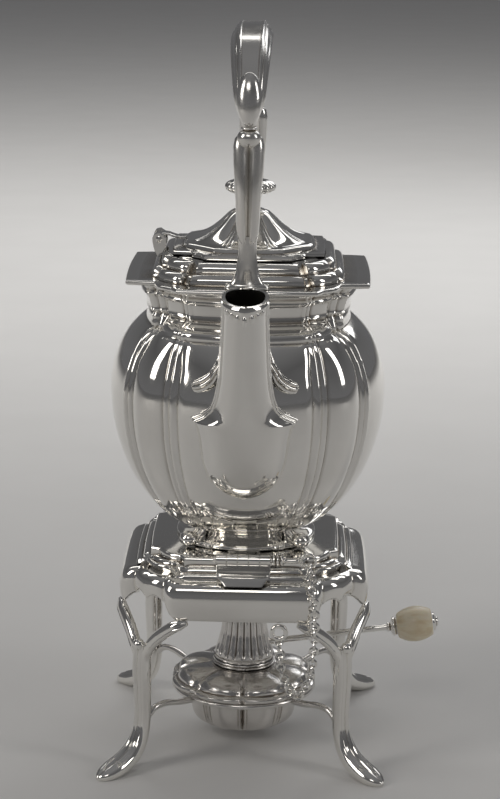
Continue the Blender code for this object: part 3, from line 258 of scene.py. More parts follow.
# %% [markdown]
# ## Silver, ivory and cotton
# Polished silver is a mirror with a faint warm tone. What makes it look real is what disturbs the mirror:
# soft unevenness from the hammer, fine polishing scratches, a roughness that varies where hands have been,
# and brown tarnish in the hollows. The finish reads the "hollow" number and a few noises on Object
# coordinates.


# %% finish tools
def node_tools(tree):
    """Two short ways: one adds a node to the tree, the other sets a node. A word or a yes is a setting of the
    node itself. All else goes to a socket, given by its name or by i and its number."""

    def connect(made, **given):
        for key, value in given.items():
            if isinstance(value, (str, bool)):
                setattr(made, key, value)
                continue
            socket = made.inputs[int(key[1:]) if key[1:].isdigit() else key.replace("_", " ")]
            if isinstance(value, bpy.types.NodeSocket):
                tree.links.new(value, socket)
            else:
                socket.default_value = value
        return made

    def node(kind, **given):
        return connect(tree.nodes.new("ShaderNode" + kind), **given)

    return node, connect


def finish_nodes(name):
    """A new material, a way to add nodes to it, a way to set its shader, and the place of each point."""
    material = bpy.data.materials.new(name)
    material.use_nodes = True
    node, connect = node_tools(material.node_tree)

    def shade(**given):
        connect(material.node_tree.nodes["Principled BSDF"], **given)

    return material, node, shade, node("TexCoord").outputs["Object"]


def noise(node, place, scale, detail, roughness=0.5):
    """Cloudy noise between 0 and 1, finer with a greater scale."""
    return node("TexNoise", Vector=place, Scale=scale, Detail=detail, Roughness=roughness).outputs["Fac"]


def ranged(node, value, low, high, start, end):
    """A number mapped from one range to another and held inside it."""
    return node("MapRange", Value=value, From_Min=low, From_Max=high, To_Min=start,
                To_Max=end).outputs["Result"]


def ramp(node, value, *stops):
    """Colours blended along a value. Each stop is a share and a colour, the first at 0 and the last at 1."""
    made = node("ValToRGB", Fac=value)
    points = made.color_ramp.elements
    for share, _ in stops[1:-1]:
        points.new(share)
    for point, (_, colour) in zip(points, stops):
        point.color = (*colour, 1)
    return made.outputs[0]


print("finish tools ready")

# %% finishes
TARNISH = (0.20, 0.155, 0.105, 1)
SCORCH = (0.035, 0.025, 0.018, 1)
WICK_TOP = (0.0541, 0.0585)


def silver(name, tone, tarnish, gloss, dent):
    """Silver of a tone: tarnish is how brown its hollows are, gloss its low and high roughness, dent the
    strength of its hammered unevenness."""
    material, node, shade, place = finish_nodes(name)
    bend = node("Attribute", attribute_name="hollow").outputs["Fac"]
    cloud = noise(node, place, 55.0, 5.0, 0.6)
    bloom = ranged(node, noise(node, place, 24.0, 3.0, 0.55), 0.52, 0.8, 0.0, 0.16 * tarnish)
    stain = node("Math", operation="MULTIPLY", i0=ranged(node, bend, 0.02, 0.32, 0.0, tarnish),
                 i1=ranged(node, cloud, 0.3, 0.62, 0.55, 1.15))
    film = node("Math", operation="ADD", use_clamp=True, i0=stain.outputs[0], i1=bloom).outputs[0]
    colour = node("Mix", data_type="RGBA", i0=film, i6=(*tone, 1), i7=TARNISH)
    rough = node("Math", operation="MULTIPLY_ADD", i0=film, i1=0.22,
                 i2=ranged(node, cloud, 0.34, 0.66, *gloss))
    stretch = node("Mapping", Vector=place, Scale=(900.0, 900.0, 110.0), Rotation=(0.5, 0.9, 0.3))
    hammered = node("Bump", Strength=dent, Distance=0.6 * MM, Height=noise(node, place, 70.0, 1.0, 0.4))
    scratched = node("Bump", Strength=0.045, Distance=0.06 * MM,
                     Height=noise(node, stretch.outputs[0], 1.0, 2.0), Normal=hammered.outputs[0])
    shade(Metallic=1.0, Base_Color=colour.outputs[2], Roughness=rough.outputs[0], Normal=scratched.outputs[0])
    return material


def ivory():
    """Ivory colour: fine grain lines along the turning axis, yellowed where the knob has been held."""
    material, node, shade, place = finish_nodes("knob_ivory")
    stretch = node("Mapping", Vector=place, Scale=(60.0, 420.0, 420.0), Rotation=(0, 0.148, 0))
    grain = noise(node, stretch.outputs[0], 1.0, 4.0)
    mixed = node("Math", operation="ADD", i0=grain, i1=noise(node, place, 95.0, 3.0)).outputs[0]
    colour = ramp(node, ranged(node, mixed, 0.7, 1.35, 0.0, 1.0), (0, (0.73, 0.60, 0.40)),
                  (0.45, (0.845, 0.75, 0.565)), (1, (0.89, 0.82, 0.66)))
    relief = node("Bump", Strength=0.05, Distance=0.1 * MM, Height=grain)
    shade(Base_Color=colour, Roughness=ranged(node, grain, 0.3, 0.7, 0.42, 0.26), Normal=relief.outputs[0],
          Subsurface_Weight=0.15, Subsurface_Radius=(4 * MM, 3 * MM, 1.5 * MM))
    return material


def cotton():
    """Plaited cotton: pale threads, scorched brown at the upper end of the wick."""
    material, node, shade, place = finish_nodes("wick_cotton")
    height = node("SeparateXYZ", Vector=place).outputs["Z"]
    fibre = noise(node, place, 2600.0, 3.0)
    pale = ramp(node, fibre, (0, (0.55, 0.49, 0.39)), (1, (0.88, 0.84, 0.75)))
    colour = node("Mix", data_type="RGBA", i0=ranged(node, height, *WICK_TOP, 0.0, 0.9), i6=pale, i7=SCORCH)
    relief = node("Bump", Strength=0.6, Distance=0.3 * MM, Height=fibre)
    shade(Base_Color=colour.outputs[2], Roughness=0.95, Normal=relief.outputs[0])
    return material


POLISHED = silver("polished_silver", (0.915, 0.90, 0.865), 0.85, (0.045, 0.115), 0.035)
HANDLED = silver("handled_silver", (0.885, 0.868, 0.835), 0.95, (0.10, 0.24), 0.06)
DULL = silver("burner_silver", (0.77, 0.75, 0.725), 1.0, (0.13, 0.30), 0.06)
IVORY, COTTON = ivory(), cotton()
for name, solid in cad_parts.items():
    solid.data.materials.clear()
    solid.data.materials.append(DULL if name.startswith("wick") else POLISHED)
print("finishes:", [material.name for material in (POLISHED, HANDLED, DULL, IVORY, COTTON)])

# %% [markdown]
# ## Camera, floor and light
# The picture is taken end-on, from a metre in front of the spout and a little above the lid. Silver shows
# what is round it, so the room stays dark grey with a few large soft lights, over a plain pale floor. The
# strongest light falls on the floor behind, and the floor in front stays dim, or it would wash out the lower
# half of the kettle.

# %% camera
AZIMUTH, PITCH, ROLL = np.radians((0.95, 14.0, 0.8))
ASIDE, EYE_HEIGHT = 1.1 * MM, 0.411
SENSOR, FOCAL_PIXELS, TALL_PIXELS = 36.0, 2250, 799
camera = bpy.data.cameras.new("camera")
camera.sensor_width = SENSOR
camera.lens = FOCAL_PIXELS / TALL_PIXELS * SENSOR
eye = placed("camera", camera)
stance = (AXIS[0] + math.sin(AZIMUTH) + ASIDE, AXIS[1] - math.cos(AZIMUTH), EYE_HEIGHT)
eye.matrix_world = (Matrix.Translation(stance) @ Matrix.Rotation(AZIMUTH, 4, "Z")
                    @ Matrix.Rotation(math.pi / 2 - PITCH, 4, "X") @ Matrix.Rotation(ROLL, 4, "Z"))
SCENE.camera = eye
SCENE.view_settings.view_transform = "Standard"
print("camera lens", round(camera.lens, 1))

# %% floor
HALF_FLOOR = 8.0
floor_mesh = bpy.data.meshes.new("floor")
corners = [(x * HALF_FLOOR, y * HALF_FLOOR, 0) for x, y in ((-1, -1), (1, -1), (1, 1), (-1, 1))]
floor_mesh.from_pydata(corners, [], [(0, 1, 2, 3)])
floor = placed("floor", floor_mesh)
paper, node, shade, place = finish_nodes("pale_floor")
speckle = ramp(node, noise(node, place, 14.0, 4.0), (0, (0.72, 0.715, 0.705)), (1, (0.77, 0.765, 0.755)))
shade(Base_Color=speckle, Roughness=0.9)
floor_mesh.materials.append(paper)
print("floor of", 2 * HALF_FLOOR, "m")

# %% light
world = bpy.data.worlds.new("studio")
SCENE.world = world
world.use_nodes = True
node, connect = node_tools(world.node_tree)
upward = node("SeparateXYZ", Vector=node("TexCoord").outputs["Generated"]).outputs["Z"]
sky = ramp(node, upward, (0, (0.12, 0.12, 0.125)), (0.16, (0.11, 0.11, 0.1133)), (0.45, (0.08, 0.08, 0.0824)),
           (1, (0.17, 0.17, 0.175)))
connect(world.node_tree.nodes["Background"], Color=sky)


def soft_light(name, place, target, size, power, tone):
    """A rectangular lamp that faces a target, as a softbox would."""
    lamp = bpy.data.lights.new(name, "AREA")
    lamp.shape = "RECTANGLE"
    lamp.size, lamp.size_y = size
    lamp.energy, lamp.color = power, tone
    back = unit(np.subtract(place, target))
    side = unit(np.cross((0, 0, 1), back))
    turn = Matrix(np.stack([side, np.cross(back, side), back], axis=1).tolist()).to_4x4()
    placed(name, lamp).matrix_world = Matrix.Translation(place) @ turn
    print(name, "at", place)


MIDDLE = (0, 0, 0.2)
soft_light("key_left", (-1.35, -0.75, 1.0), MIDDLE, (0.5, 1.0), 6.0, (1.0, 0.965, 0.92))
soft_light("fill_right", (1.4, -0.5, 0.85), MIDDLE, (0.35, 0.9), 3.0, (1.0, 0.98, 0.96))
soft_light("front", (-0.25, -1.5, 1.35), MIDDLE, (0.7, 0.4), 2.4, (1.0, 0.97, 0.93))
soft_light("top", (0.0, 1.2, 1.4), (0, 2.2, 0.0), (1.8, 1.3), 19.0, (1.0, 0.985, 0.96))
soft_light("back", (0.6, 1.5, 0.9), MIDDLE, (0.9, 0.5), 2.5, (0.98, 0.985, 1.0))

# %% [markdown]
# ## Kettle body
# The plan of the body has four broad panels and four corner lobes, with a pair of reeds between each two. One
# quarter of it is drawn as five strips, each a straight run with a bulge added square to it, and mirrored
# round. The body is that plan scaled up and down along a profile: a deep quarter oval to the belly, a flatter
# one to the neck, and a cove to the rim. The shoulder slopes in sooner at its sides than in front, and the
# foot has a knob at each corner.

# %% plans
HALF_PANEL, NOTCH, CORNER = 14, 12, 18


def strip(start, end, count, bulge):
    """Points from start towards end, moved out square to the run by the bulge at each share of it."""
    run, share = np.subtract(end, start), shares(count)
    return start + share[:, None] * run + bulge(share)[:, None] * unit((run[1], -run[0]))


def mirrored(quarter, back=1, left=1):
    """A whole loop from its quarter between the front and the right, mirrored back and then left."""
    half = np.concatenate([quarter, (quarter * back)[-2::-1]])
    return np.concatenate([half, (half * left)[-2:0:-1]])


def plan(corners, panel, notch, corner, side=None):
    """A closed plan, one unit from its axis to its side: five strips between six corners of a quarter, with
    the bulges of the front panel, of the notches, of the corner and, if it differs, of the side panel."""
    strips = zip(corners, corners[1:], (HALF_PANEL, NOTCH, CORNER, NOTCH, HALF_PANEL),
                 (panel, notch, corner, notch, side or panel))
    quarter = np.vstack([strip(*each) for each in strips] + [corners[-1:]])
    return mirrored(quarter, (1, -1), (-1, 1)) / corners[-1][0]


def around(panel, notch, corner):
    """A value at each point of a plan, from its course along a half panel, a notch and a corner."""
    gap, last = shares(NOTCH), np.linspace(1, 0, HALF_PANEL + 1)
    return mirrored(np.concatenate([panel(shares(HALF_PANEL)), notch(gap), corner(shares(CORNER)),
                                    notch(1 - gap), panel(last)]))


def crown(rise):
    """A shallow bulge: rise times the share done times the share left."""
    return lambda share: rise * (share - share ** 2)


def arched(rise, power=1.0):
    """A round bulge: rise times the half wave along the strip, raised to a power."""
    return lambda share: rise * np.sin(math.pi * share) ** power


def paired(rise, sunk):
    """Two reeds along a strip: rise times the size of a full wave to the power 0.7, sunk below the line."""
    return lambda share: rise * np.abs(np.sin(TAU * share)) ** 0.7 - sunk


def straight(share):
    """No bulge."""
    return 0 * share


BELLY = plan([(0, -67), (30.4, -58.9), (36, -52.8), (50.2, -38.6), (54.3, -33), (62.5, 0)],
             crown(8.1), paired(2.5, 1.3), arched(3.5, 0.8), crown(8.2))
COLLAR = plan([(0, -56.75), (30.5, -55.75), (33, -50.75), (41, -37.06), (53.5, -35.5), (54.5, 0)],
              crown(1.0), straight, arched(2.0))
print("plans of", len(BELLY), "points")

# %% body
BASE, BASE_HALF, BELLY_RISE, BELLY_SWELL = 105.4, 24.5, 63.6, 38.0
BELLY_HEIGHT, NECK, RIM = 169.0, 206.0, 220.7
NECK_HALF, SHOULDER_SWELL, SIDE_RISE = 45.6, 16.9, 32.0
WALL, INNER_FLOOR = 1.2, 106.8


def level(outline, half, height):
    """Rings of an outline scaled to half widths, at heights: one for each ring, or for each of its points."""
    half, height = (np.reshape(values, (len(values), -1, 1)) for values in (half, height))
    rings = outline * half
    return np.concatenate([rings, np.broadcast_to(height, (*rings.shape[:2], 1))], axis=2)


def belly(height):
    """Half width under the belly: a quarter oval from the base, with the power 0.6 for a root."""
    return BASE_HALF + BELLY_SWELL * np.clip(1 - ((BELLY_HEIGHT - height) / BELLY_RISE) ** 2, 0, 1) ** 0.6


def shoulder(height, rise=NECK - BELLY_HEIGHT, power=0.7):
    """Half width over the belly: a quarter oval of that rise in to the neck, with a power for a root."""
    return NECK_HALF + SHOULDER_SWELL * np.clip(1 - ((height - BELLY_HEIGHT) / rise) ** 2, 0, 1) ** power


lower = BASE + BELLY_RISE * (1 - np.cos(np.linspace(0, math.pi / 2, 26)))
upper = np.concatenate([np.linspace(170.5, 198, 18), np.linspace(198.6, RIM, 42)])
neck_rings = (4.4 * grade(upper, NECK, RIM) ** 2 - bump(upper, 207.2, 0.7, 0.6) + bump(upper, 208.8, 0.7, 0.5)
              + bump(upper, 216.4, 0.9, 1.0) - bump(upper, 218.3, 0.8, 0.6))
front_half = shoulder(upper) + neck_rings + bump(upper, 203.4, 2.3, 1.7) - bump(upper, 199.8, 0.8, 0.7)
side_half = shoulder(upper, SIDE_RISE, 0.62) + neck_rings + bump(upper, 202.0, 2.0, 0.7)
half = np.concatenate([belly(lower), front_half])
height = np.concatenate([lower, upper])
squared = np.concatenate([0 * lower, np.clip(grade(upper, BELLY_HEIGHT, NECK) - 0.5, 0, 0.5)])[:, None, None]
sideways = grade(np.arctan2(np.abs(COLLAR[:, 0]), np.abs(COLLAR[:, 1])), 0.5, 1.0)
narrowing = np.concatenate([0 * lower, 1 - side_half / front_half])[:, None, None]
outline = ((BELLY * (1 - squared) + COLLAR * squared)
           * (1 - narrowing * (sideways ** 2 * (3 - 2 * sideways))[:, None]))
inner = slice(None, None, -4)
inside = level(outline[inner], half[inner] - WALL, np.maximum(height[inner], INNER_FLOOR))
piece("kettle_shell", [skin(level(outline, half, height), inside)], "kettle", "kettle_body",
      "kettle_shoulder", "kettle_neck")

# %% foot
foot = smooth([
    (30.8, 99.3), (32, 100.1), (31.7, 101.2), (30, 101.9), (28, 102.6), (26.4, 103.8), (25.2, 105.35)], 4)
foot = np.vstack([foot, [(21.5, 105.35), (21.5, 99.3)]])
knobs = [skin(ellipsoid((x, y, 102.9), (4.2, 4.2, 3.5))) for x in (-25.4, 25.4) for y in (-26.4, 26.4)]
piece("kettle_foot_ring", [skin(level(BELLY, *foot.T), loop=True)] + knobs, "kettle", "kettle_foot")

# %% [markdown]
# ## Collar
# The collar is a flat flange with notched corners, and two convex mouldings on a smaller plan of their own
# step up from it to the seat of the lid. Each moulding is cut into cushions, one along each panel and one at
# each corner. So the profile has a flat and a full form, and a mask round the plan says how full it is at
# each point: one along a cushion, none between.

# %% collar
SIDE, FRONT = 42.5, 47.7
MOULDING = plan([(0, -47.5), (26.8, -46.8), (28.8, -44), (40.2, -31.5), (42.2, -29), (SIDE, 0)],
                crown(0.4), straight, arched(1.6)) * SIDE / FRONT
CUSHION = around(lambda s: np.sqrt(1 - s ** 12), straight, lambda s: np.sqrt(1 - (2 * s - 1) ** 8))


def cushioned(outline, flat, full):
    """Rings of an outline along a profile that is flat between the cushions and full on them."""
    flat, full = (np.transpose(profile)[..., None] for profile in (flat, full))
    return level(outline, *(flat + (full - flat) * CUSHION))


flange = smooth([
    (50.5, 221), (53.4, 221.05), (54.4, 221.9), (54.2, 222.8), (53.2, 223.2), (50, 223.15), (48.4, 223.2)], 3)
full = smooth([
    (47.7, 223.3), (47.9, 224.6), (47.5, 226.2), (46.2, 227.5), (44.4, 227.9), (43.5, 227.7), (43.2, 228.3),
    (43.4, 229.4), (42.9, 230.9), (41.6, 232), (39.8, 232.4), (38.6, 232.2)], 3)
flat = smooth([
    (45.6, 223.2), (45.2, 223.9), (44.6, 224.8), (43.9, 225.8), (43, 226.6), (42, 227), (41.2, 227.5),
    (40.6, 228.4), (40, 229.4), (39.4, 230.5), (38.9, 231.5), (38.6, 232.1)], 3)
seat = np.array([(37.5, 232), (36, 232.2), (30.5, 232.2), (30.5, 221)])
collar = skin(level(COLLAR, *flange.T), cushioned(MOULDING, flat, full), level(MOULDING, *seat.T), loop=True)
piece("collar_mouldings", [collar], "kettle", "kettle_collar")

# %% [markdown]
# ## Lid and finial
# The lid is a bell with an ogee line. Narrow panels face front, back and sides, and a full petal bounded by
# pairs of reeds runs down each corner and dies out on the flat edge. A reeded button on a turned stem is
# screwed to its top.

# %% lid
LID = plan([(0, -35.4), (12.6, -34.9), (17.5, -33.4), (32.3, -18.6), (33.6, -13.2), (34, 0)],
           crown(0.4), straight, straight)
ridge = around(straight, paired(1.3, 0.9), lambda s: arched(1.5, 0.6)(s) - 0.4)
edge = np.array([(34, 232.7), (34, 233.8), (33.4, 234.4), (31.4, 234.5), (30.4, 234.6)])
bell = smooth([
    (29.6, 234.9), (29.2, 235.6), (28.6, 236.3), (27.4, 236.7), (24.6, 237.2), (21, 238.5), (17.4, 240.6),
    (14.4, 243), (12, 245.4), (10, 247.6), (8, 249.2), (5.6, 250), (2.4, 250.1)], 5)
radius = bell[:, 0]
flute = grade(radius, 29, 23) * grade(radius, 3, 12)
round_off = grade(radius, 14, 3)[:, None, None]
circle = unit(LID)
dome = level(LID * (1 - round_off) + circle * round_off, *bell.T)
dome[..., :2] += circle * (flute[:, None] * ridge)[..., None]
inner_bell = np.vstack([[(32.8, 232.7)], bell[::-6][::-1][:-1] - (WALL, WALL)])
bore = level(circle, [2.2, 2.2], [250.0, 248.9])
shell = skin(level(COLLAR, *edge.T), dome, bore, level(LID, *inner_bell[::-1].T), loop=True)
piece("lid_bell", [shell], "lid", "lid")

# %% finial
steps = np.linspace(0, math.pi, 19)[1:-1]
button = np.column_stack([11.4 * np.sin(steps) ** 0.7, 260.0 + 3.5 * np.cos(steps)])
reeding = (0.75 * np.abs(np.sin(10 * full_turn(160))) ** 0.7 - 0.55)[None] * np.sin(steps)[:, None] ** 2
stem = smooth([
    (2.2, 256.9), (2.3, 255.4), (3, 254.7), (2.3, 254), (2.3, 252.6), (3.2, 251.4), (4.3, 250.5),
    (1.5, 250.3), (1.5, 246.2)], 4)
piece("finial_button", [skin(spin(button, 160, reeding)), skin(spin(stem, 32))], "lid", "finial",
      "finial_stem")

# %% [markdown]
# ## Lid hinge
# A lug on the collar holds the pin, and the leaf that turns on it is let into the flat edge of the lid.
# Knuckles are bored barrels in a row on the hinge line.

# %% lid hinge
LID_PIN = (-40.5, 0, 236.6)
SOFT_BARREL, SOFT_PLATE = 0.18, 0.25


def barrel(start, end, radius, bore, place, along, sides=28):
    """A knuckle: a bored barrel with softened edges, from one place along its axis to another."""
    narrow = radius - SOFT_BARREL
    profile = [(bore, start), (narrow, start), (radius, start + SOFT_BARREL), (radius, end - SOFT_BARREL),
               (narrow, end), (bore, end)]
    return skin(aim(spin(profile, sides), place, along), loop=True)


def plate(outline, near, far):
    """An upright plate: an outline seen from the front, drawn in at both faces to soften its edge."""
    inward = unit(outline.mean(0) - outline)
    rings = []
    for inset, depth in ((SOFT_PLATE, near), (0, near + SOFT_PLATE), (0, far - SOFT_PLATE),
                         (SOFT_PLATE, far)):
        x, z = (outline + inward * inset).T
        rings.append(np.column_stack([x, 0 * x + depth, z]))
    return skin(rings)


lug_outline = smooth([
    (-40.3, 239.5), (-42.4, 238.9), (-43.4, 237), (-43.2, 234), (-42.2, 230.8), (-40.4, 228.2),
    (-38.4, 231.2), (-37.2, 234.2), (-37.6, 237.4), (-40.3, 239.5)], 4)[:-1]
pin_end = spin([(0.9, 7.4), (1.45, 7.5), (1.45, 7.8), (0.8, 8.1)], 24)
lugs = [plate(lug_outline, near, near + 3.55) for near in (-7.5, 3.95)]
pin_ends = [skin(aim(pin_end, LID_PIN, (0, m, 0))) for m in (-1, 1)]
piece("lid_hinge_scrolls", lugs + pin_ends, "kettle", "lid_hinge_lug", "lid_hinge_pin")
leaf_path = smooth([
    (-39.4, 0, 238.3), (-36.6, 0, 238.2), (-33.6, 0, 237.2), (-30.2, 0, 236.7), (-28.2, 0, 236.9)])
leaf = carry(leaf_path, oval(np.interp(leaf_path[:, 0], (-40, -34, -28), (3.5, 3.5, 2.6)), 0.55, 20, 0.35))
piece("lid_hinge_tongue", [skin(leaf), barrel(-3.6, 3.6, 2.3, 1.35, LID_PIN, (0, 1, 0))], "lid",
      "lid_hinge_leaf")

# %% [markdown]
# ## Spout
# Seen from the front the spout is a slim neck that swells into a bowl against the belly, with a pair of
# pointed wings where the two meet and a pair of reeded rolls above them. The lip comes to a point over a row
# of small leaves. The spout is a stack of half-round sections: at each height a table gives the half width,
# how far the front reaches from the kettle's axis, and how far the sides do.

# %% spout
MOUTH, MOUTH_MIDDLE, SPOUT_WALL = 226.0, (0, -84.6, 0), 1.45
WING_ROW, LIP_COLUMNS = 50, 15
table = smooth([  # height, half width, front reach, reach of its sides
    (130.4, 2.4, 56.6, 50.4), (133, 8, 61.5, 53.3), (136.2, 11.8, 65.5, 55.9), (140, 14.6, 69.4, 58.2),
    (145, 16.9, 73.6, 60.6), (151, 18.5, 77.7, 62.7), (157, 19.3, 81, 64.4), (162.5, 20, 83.6, 65.8),
    (167, 21.2, 85.2, 66.8), (169.2, 22.2, 85.9, 67.4), (170.4, 22.4, 86.2, 67.8),
    (171.8, 19.8, 86.6, 68.8), (173.6, 16.8, 87, 70.2), (176.4, 14.2, 87.6, 72),
    (180.4, 12.6, 88.4, 73.8), (185, 11.6, 89.3, 75.4), (191, 10.8, 90.5, 77.2), (200, 10.2, 92.2, 79.2),
    (209, 9.8, 94, 81.2), (217, 9.5, 95.6, 82.8), (222.4, 9.5, 96.7, 83.9), (MOUTH, 9.8, 97.2, 84.6)], 5)
z, wide, front, side = table.T
turn = full_turn(72)
forward = np.clip(np.cos(turn), 0, None)
backward = np.clip(-np.cos(turn), 0, None)
across = np.sign(np.sin(turn)) * np.abs(np.sin(turn)) ** 0.9
hood = grade(z, 176, 190)


def spout_wall(inset, rows):
    """Sections of the spout: a half oval in front of its sides and a shallow half oval behind them."""
    w, f, s, h, high = (values[rows][:, None] for values in (wide, front, side, hood, z))
    depth = (f - s) * forward ** 0.85 - (3.0 + 5.2 * h) * backward ** 0.9
    x = (w - inset) * across
    y = -(s + depth * (1 - inset / 9))
    tilt = grade(high, 213, MOUTH) * (-y - 88.5) * -0.22
    lip = grade(high, 221, MOUTH) * bump(x, 0, 3.6, 1.4) * forward
    return np.stack([x, y - lip, high + tilt + lip * 0.15], axis=2)


outer = spout_wall(0.0, slice(None))
inner = spout_wall(SPOUT_WALL, slice(None, WING_ROW, -3))
inner[0, :, 2] += 0.1


def body_front(height):
    """How far the front panel reaches at a height: the half width there, times the plan's greater length."""
    return np.where(height < BELLY_HEIGHT, belly(height), shoulder(height)) * -BELLY[0, 1]


def rim_bead(column):
    """A rolled edge down the spout to the tip of the wing: a thin wire along one column of its grid."""
    path = outer[WING_ROW:-2, column]
    return wire(path, np.linspace(0.85, 0.6, len(path)), 10, up=(0, 1, 0.2))


def reeded_roll(mirror):
    """The upper roll: thick and reeded, from the side of the spout out along the body to a blunt tip."""
    x = np.array((9.9, 11.4, 13.4, 16.2, 19.2, 22.4))
    high = np.array((199, 192.4, 188, 185, 183.2, 182.4))
    reach = body_front(high) - x ** 2 / 115 + np.array((9, 5.6, 3.4, 2.2, 1.5, 1))
    path = smooth(np.column_stack([mirror * x, -reach, high]))
    share = np.linspace(0, 1, len(path))
    thick = np.interp(share, (0, 0.3, 0.7, 0.92, 1), (0.9, 2.3, 2.9, 2.5, 1.2))
    reeding = 1 + 0.1 * np.cos(8 * full_turn(48))
    return carry(path, oval(thick * 1.15, thick, 48, 0.9) * reeding[None, :, None])


def lip_depth(column):
    """How deep the lip hangs at a column of the mouth's front: least at its ends, most in its middle."""
    return 1.2 + 3.0 * (1 - np.abs(column) / LIP_COLUMNS) ** 1.2


def lip_band():
    """The turned-down lip: at each column of the mouth's front a rounded edge as deep as the lip there."""
    columns = np.arange(-LIP_COLUMNS, LIP_COLUMNS + 1)
    top = outer[-1, columns]
    out = unit(top * (1, 1, 0) - MOUTH_MIDDLE)
    loop = np.array(((-0.4, 0.1), (0.5, 0.15), (1.1, -0.2), (1.1, -0.55), (0.7, -0.9), (-0.4, -1)))
    away = loop[None, :, :1] * out[:, None]
    down = loop[None, :, 1:] * lip_depth(columns)[:, None, None] * (0, 0, 1)
    return top[:, None] + away + down


leaves = []
for column, drop in ((0, 4.6), (-3, 3.4), (3, 3.4), (-6, 2.2), (6, 2.2), (-9, 1.4), (9, 1.4)):
    place = outer[-1, column] - (0, 0.4, lip_depth(column) + drop * 0.3)
    leaves.append(ellipsoid(place, (1.0, 0.9, 0.8 + drop * 0.4), 0.1, 10, 14))
grids = [rim_bead(column) for column in (17, -17, 14, -14)] + [reeded_roll(mirror) for mirror in (-1, 1)]
skins = [skin(outer, inner)] + [skin(grid) for grid in (*grids, lip_band(), *leaves)]
piece("spout_shell", skins, "kettle", "spout", sharp=45)

# %% [markdown]
# ## Handle
# The handle arches over the lid. Its grip has a flat facet outside with two reeds each side, an oval boss
# closes each end of the grip, a bead sits under it, and a shaft of two lobes runs down to a flared foot on
# the collar.

# %% grip
HANDLE_REACH, GRIP_ENDS, GRIP_RISE, FACET = 52.2, 293.6, 33.25, 0.47
turn = np.linspace(0, math.pi, 73)
swell = np.sin(turn) ** 0.8
reach = HANDLE_REACH * np.sign(np.cos(turn)) * np.abs(np.cos(turn)) ** 0.75
arch = np.column_stack([0 * turn, -reach, GRIP_ENDS + GRIP_RISE * np.sin(turn) ** 0.75])
neck = 1 - bump(arch[:, 2], GRIP_ENDS, 6.0, 0.45)
section = oval((5.6 + 3.6 * swell) * neck, 5.75 * (0.62 + 0.38 * swell) * neck, 120, 0.85)
half, depth = section[..., 0].max(1), section[..., 1].max(1)
edge = grade(np.abs(section[..., 0]) / half[:, None], FACET, 1)
reeded = 1 - edge ** 1.6 + 0.14 * np.abs(np.sin(2.5 * math.pi * edge)) ** 0.8 * np.sqrt(1 - edge)
section[..., 1] = np.where(section[..., 1] > 1e-6, depth[:, None] * reeded, section[..., 1] * 0.85)
grip = carry(arch, section[..., ::-1], up=(-1, 0, 0))
bosses = [skin(ellipsoid((0, m * 56, 305.2), (5.5, 4.4, 11.3), m * math.radians(9))) for m in (-1, 1)]
piece("grip_arch", [skin(grip)] + bosses, "kettle", "handle_grip", finish=HANDLED)

# %% beads, shafts and sockets
for m, end in ((-1, "front"), (1, "rear")):
    bead = spin(smooth([
        (0.6, 293.5), (3, 293.2), (3.4, 292.4), (2.6, 291.9), (4.2, 290.9), (5, 289), (4.5, 286.6),
        (2.6, 284.6), (0.6, 284)], 4), 32) * (1, 0.86, 1)
    piece("bead_" + end, [skin(bead + (0, m * 54, 0))], "kettle", "handle_bead_" + end, finish=HANDLED)
    share = np.linspace(0, 1, 36)
    path = np.column_stack([0 * share, m * (HANDLE_REACH + 1.6 * np.sin(math.pi * share))])
    half = np.interp(share, (0, 0.05, 0.14, 0.4, 0.72, 0.9, 0.97, 1),
                     (2.6, 4.2, 4.9, 5.4, 6.4, 6.6, 6.0, 4.6))
    depth = np.interp(share, (0, 0.06, 0.5, 0.9, 1), (1.6, 3, 3.5, 3.7, 2.6))
    lobes = oval(half, depth, 48, 0.85)
    dart = bump(lobes[..., 0], 0, (half * (0.13 + 0.13 * share))[:, None])
    dart *= np.interp(share, (0, 0.85, 1), (0.8, 0.7, 0.1))[:, None]
    lobes[..., 1] *= 1 - dart
    shaft = level(path[:, None] + lobes, [1], 243.2 + 46.4 * share)
    lift = np.abs(lobes[..., 0]) / half[:, None]
    shaft[:3, :, 2] -= np.sin(lift[:3] * math.pi) * np.array((2.6, 1.8, 0.8))[:, None]
    piece("shaft_" + end, [skin(shaft)], "kettle", "handle_shaft_" + end, finish=HANDLED)
    flare = smooth([
        (9.4, 2.7, 223.4), (9.7, 2.9, 224.2), (9.2, 2.8, 225.2), (7.6, 2.6, 225.9), (6.2, 2.5, 227.8),
        (5, 2.5, 231.5), (4.2, 2.4, 237), (3.9, 2.4, 242), (4.3, 2.4, 246.5)], 4)
    base = oval(flare[:, 0], flare[:, 1], 40, 0.8)
    stalk = level(base + (0, m * HANDLE_REACH), [1], flare[:, 2])
    piece("socket_" + end, [skin(stalk)], "kettle", "handle_socket_" + end, finish=HANDLED)

# %% [markdown]
# ## Stand
# The frame of the stand repeats the collar: a platform with notched corners, a cushioned step, and deep
# aprons with rounded ends. Between the aprons a web closes each corner, and its lower edge is cut in two
# small arches.

# %% stand frame
HEM_HEIGHT, CREST = 73.5, 91.2
SKIRT = plan([(0, -57), (28, -56.6), (36, -49.6), (49.6, -36), (56.6, -28), (57, 0)],
             crown(0.6), arched(2.4), arched(2.4, 0.7))
TOP = plan([(0, -43), (26.5, -42.4), (28.5, -38.6), (38.6, -28.5), (42.4, -26.5), (43, 0)],
           crown(0.4), straight, arched(2.0))
WEB = around(straight, lambda s: s ** 2 * (3 - 2 * s), lambda s: 1 + 0 * s)
ARCHES = around(straight, straight, lambda s: 2.2 * np.abs(np.sin(TAU * s)))
HEM = HEM_HEIGHT + 6.1 * WEB ** 1.5 + ARCHES


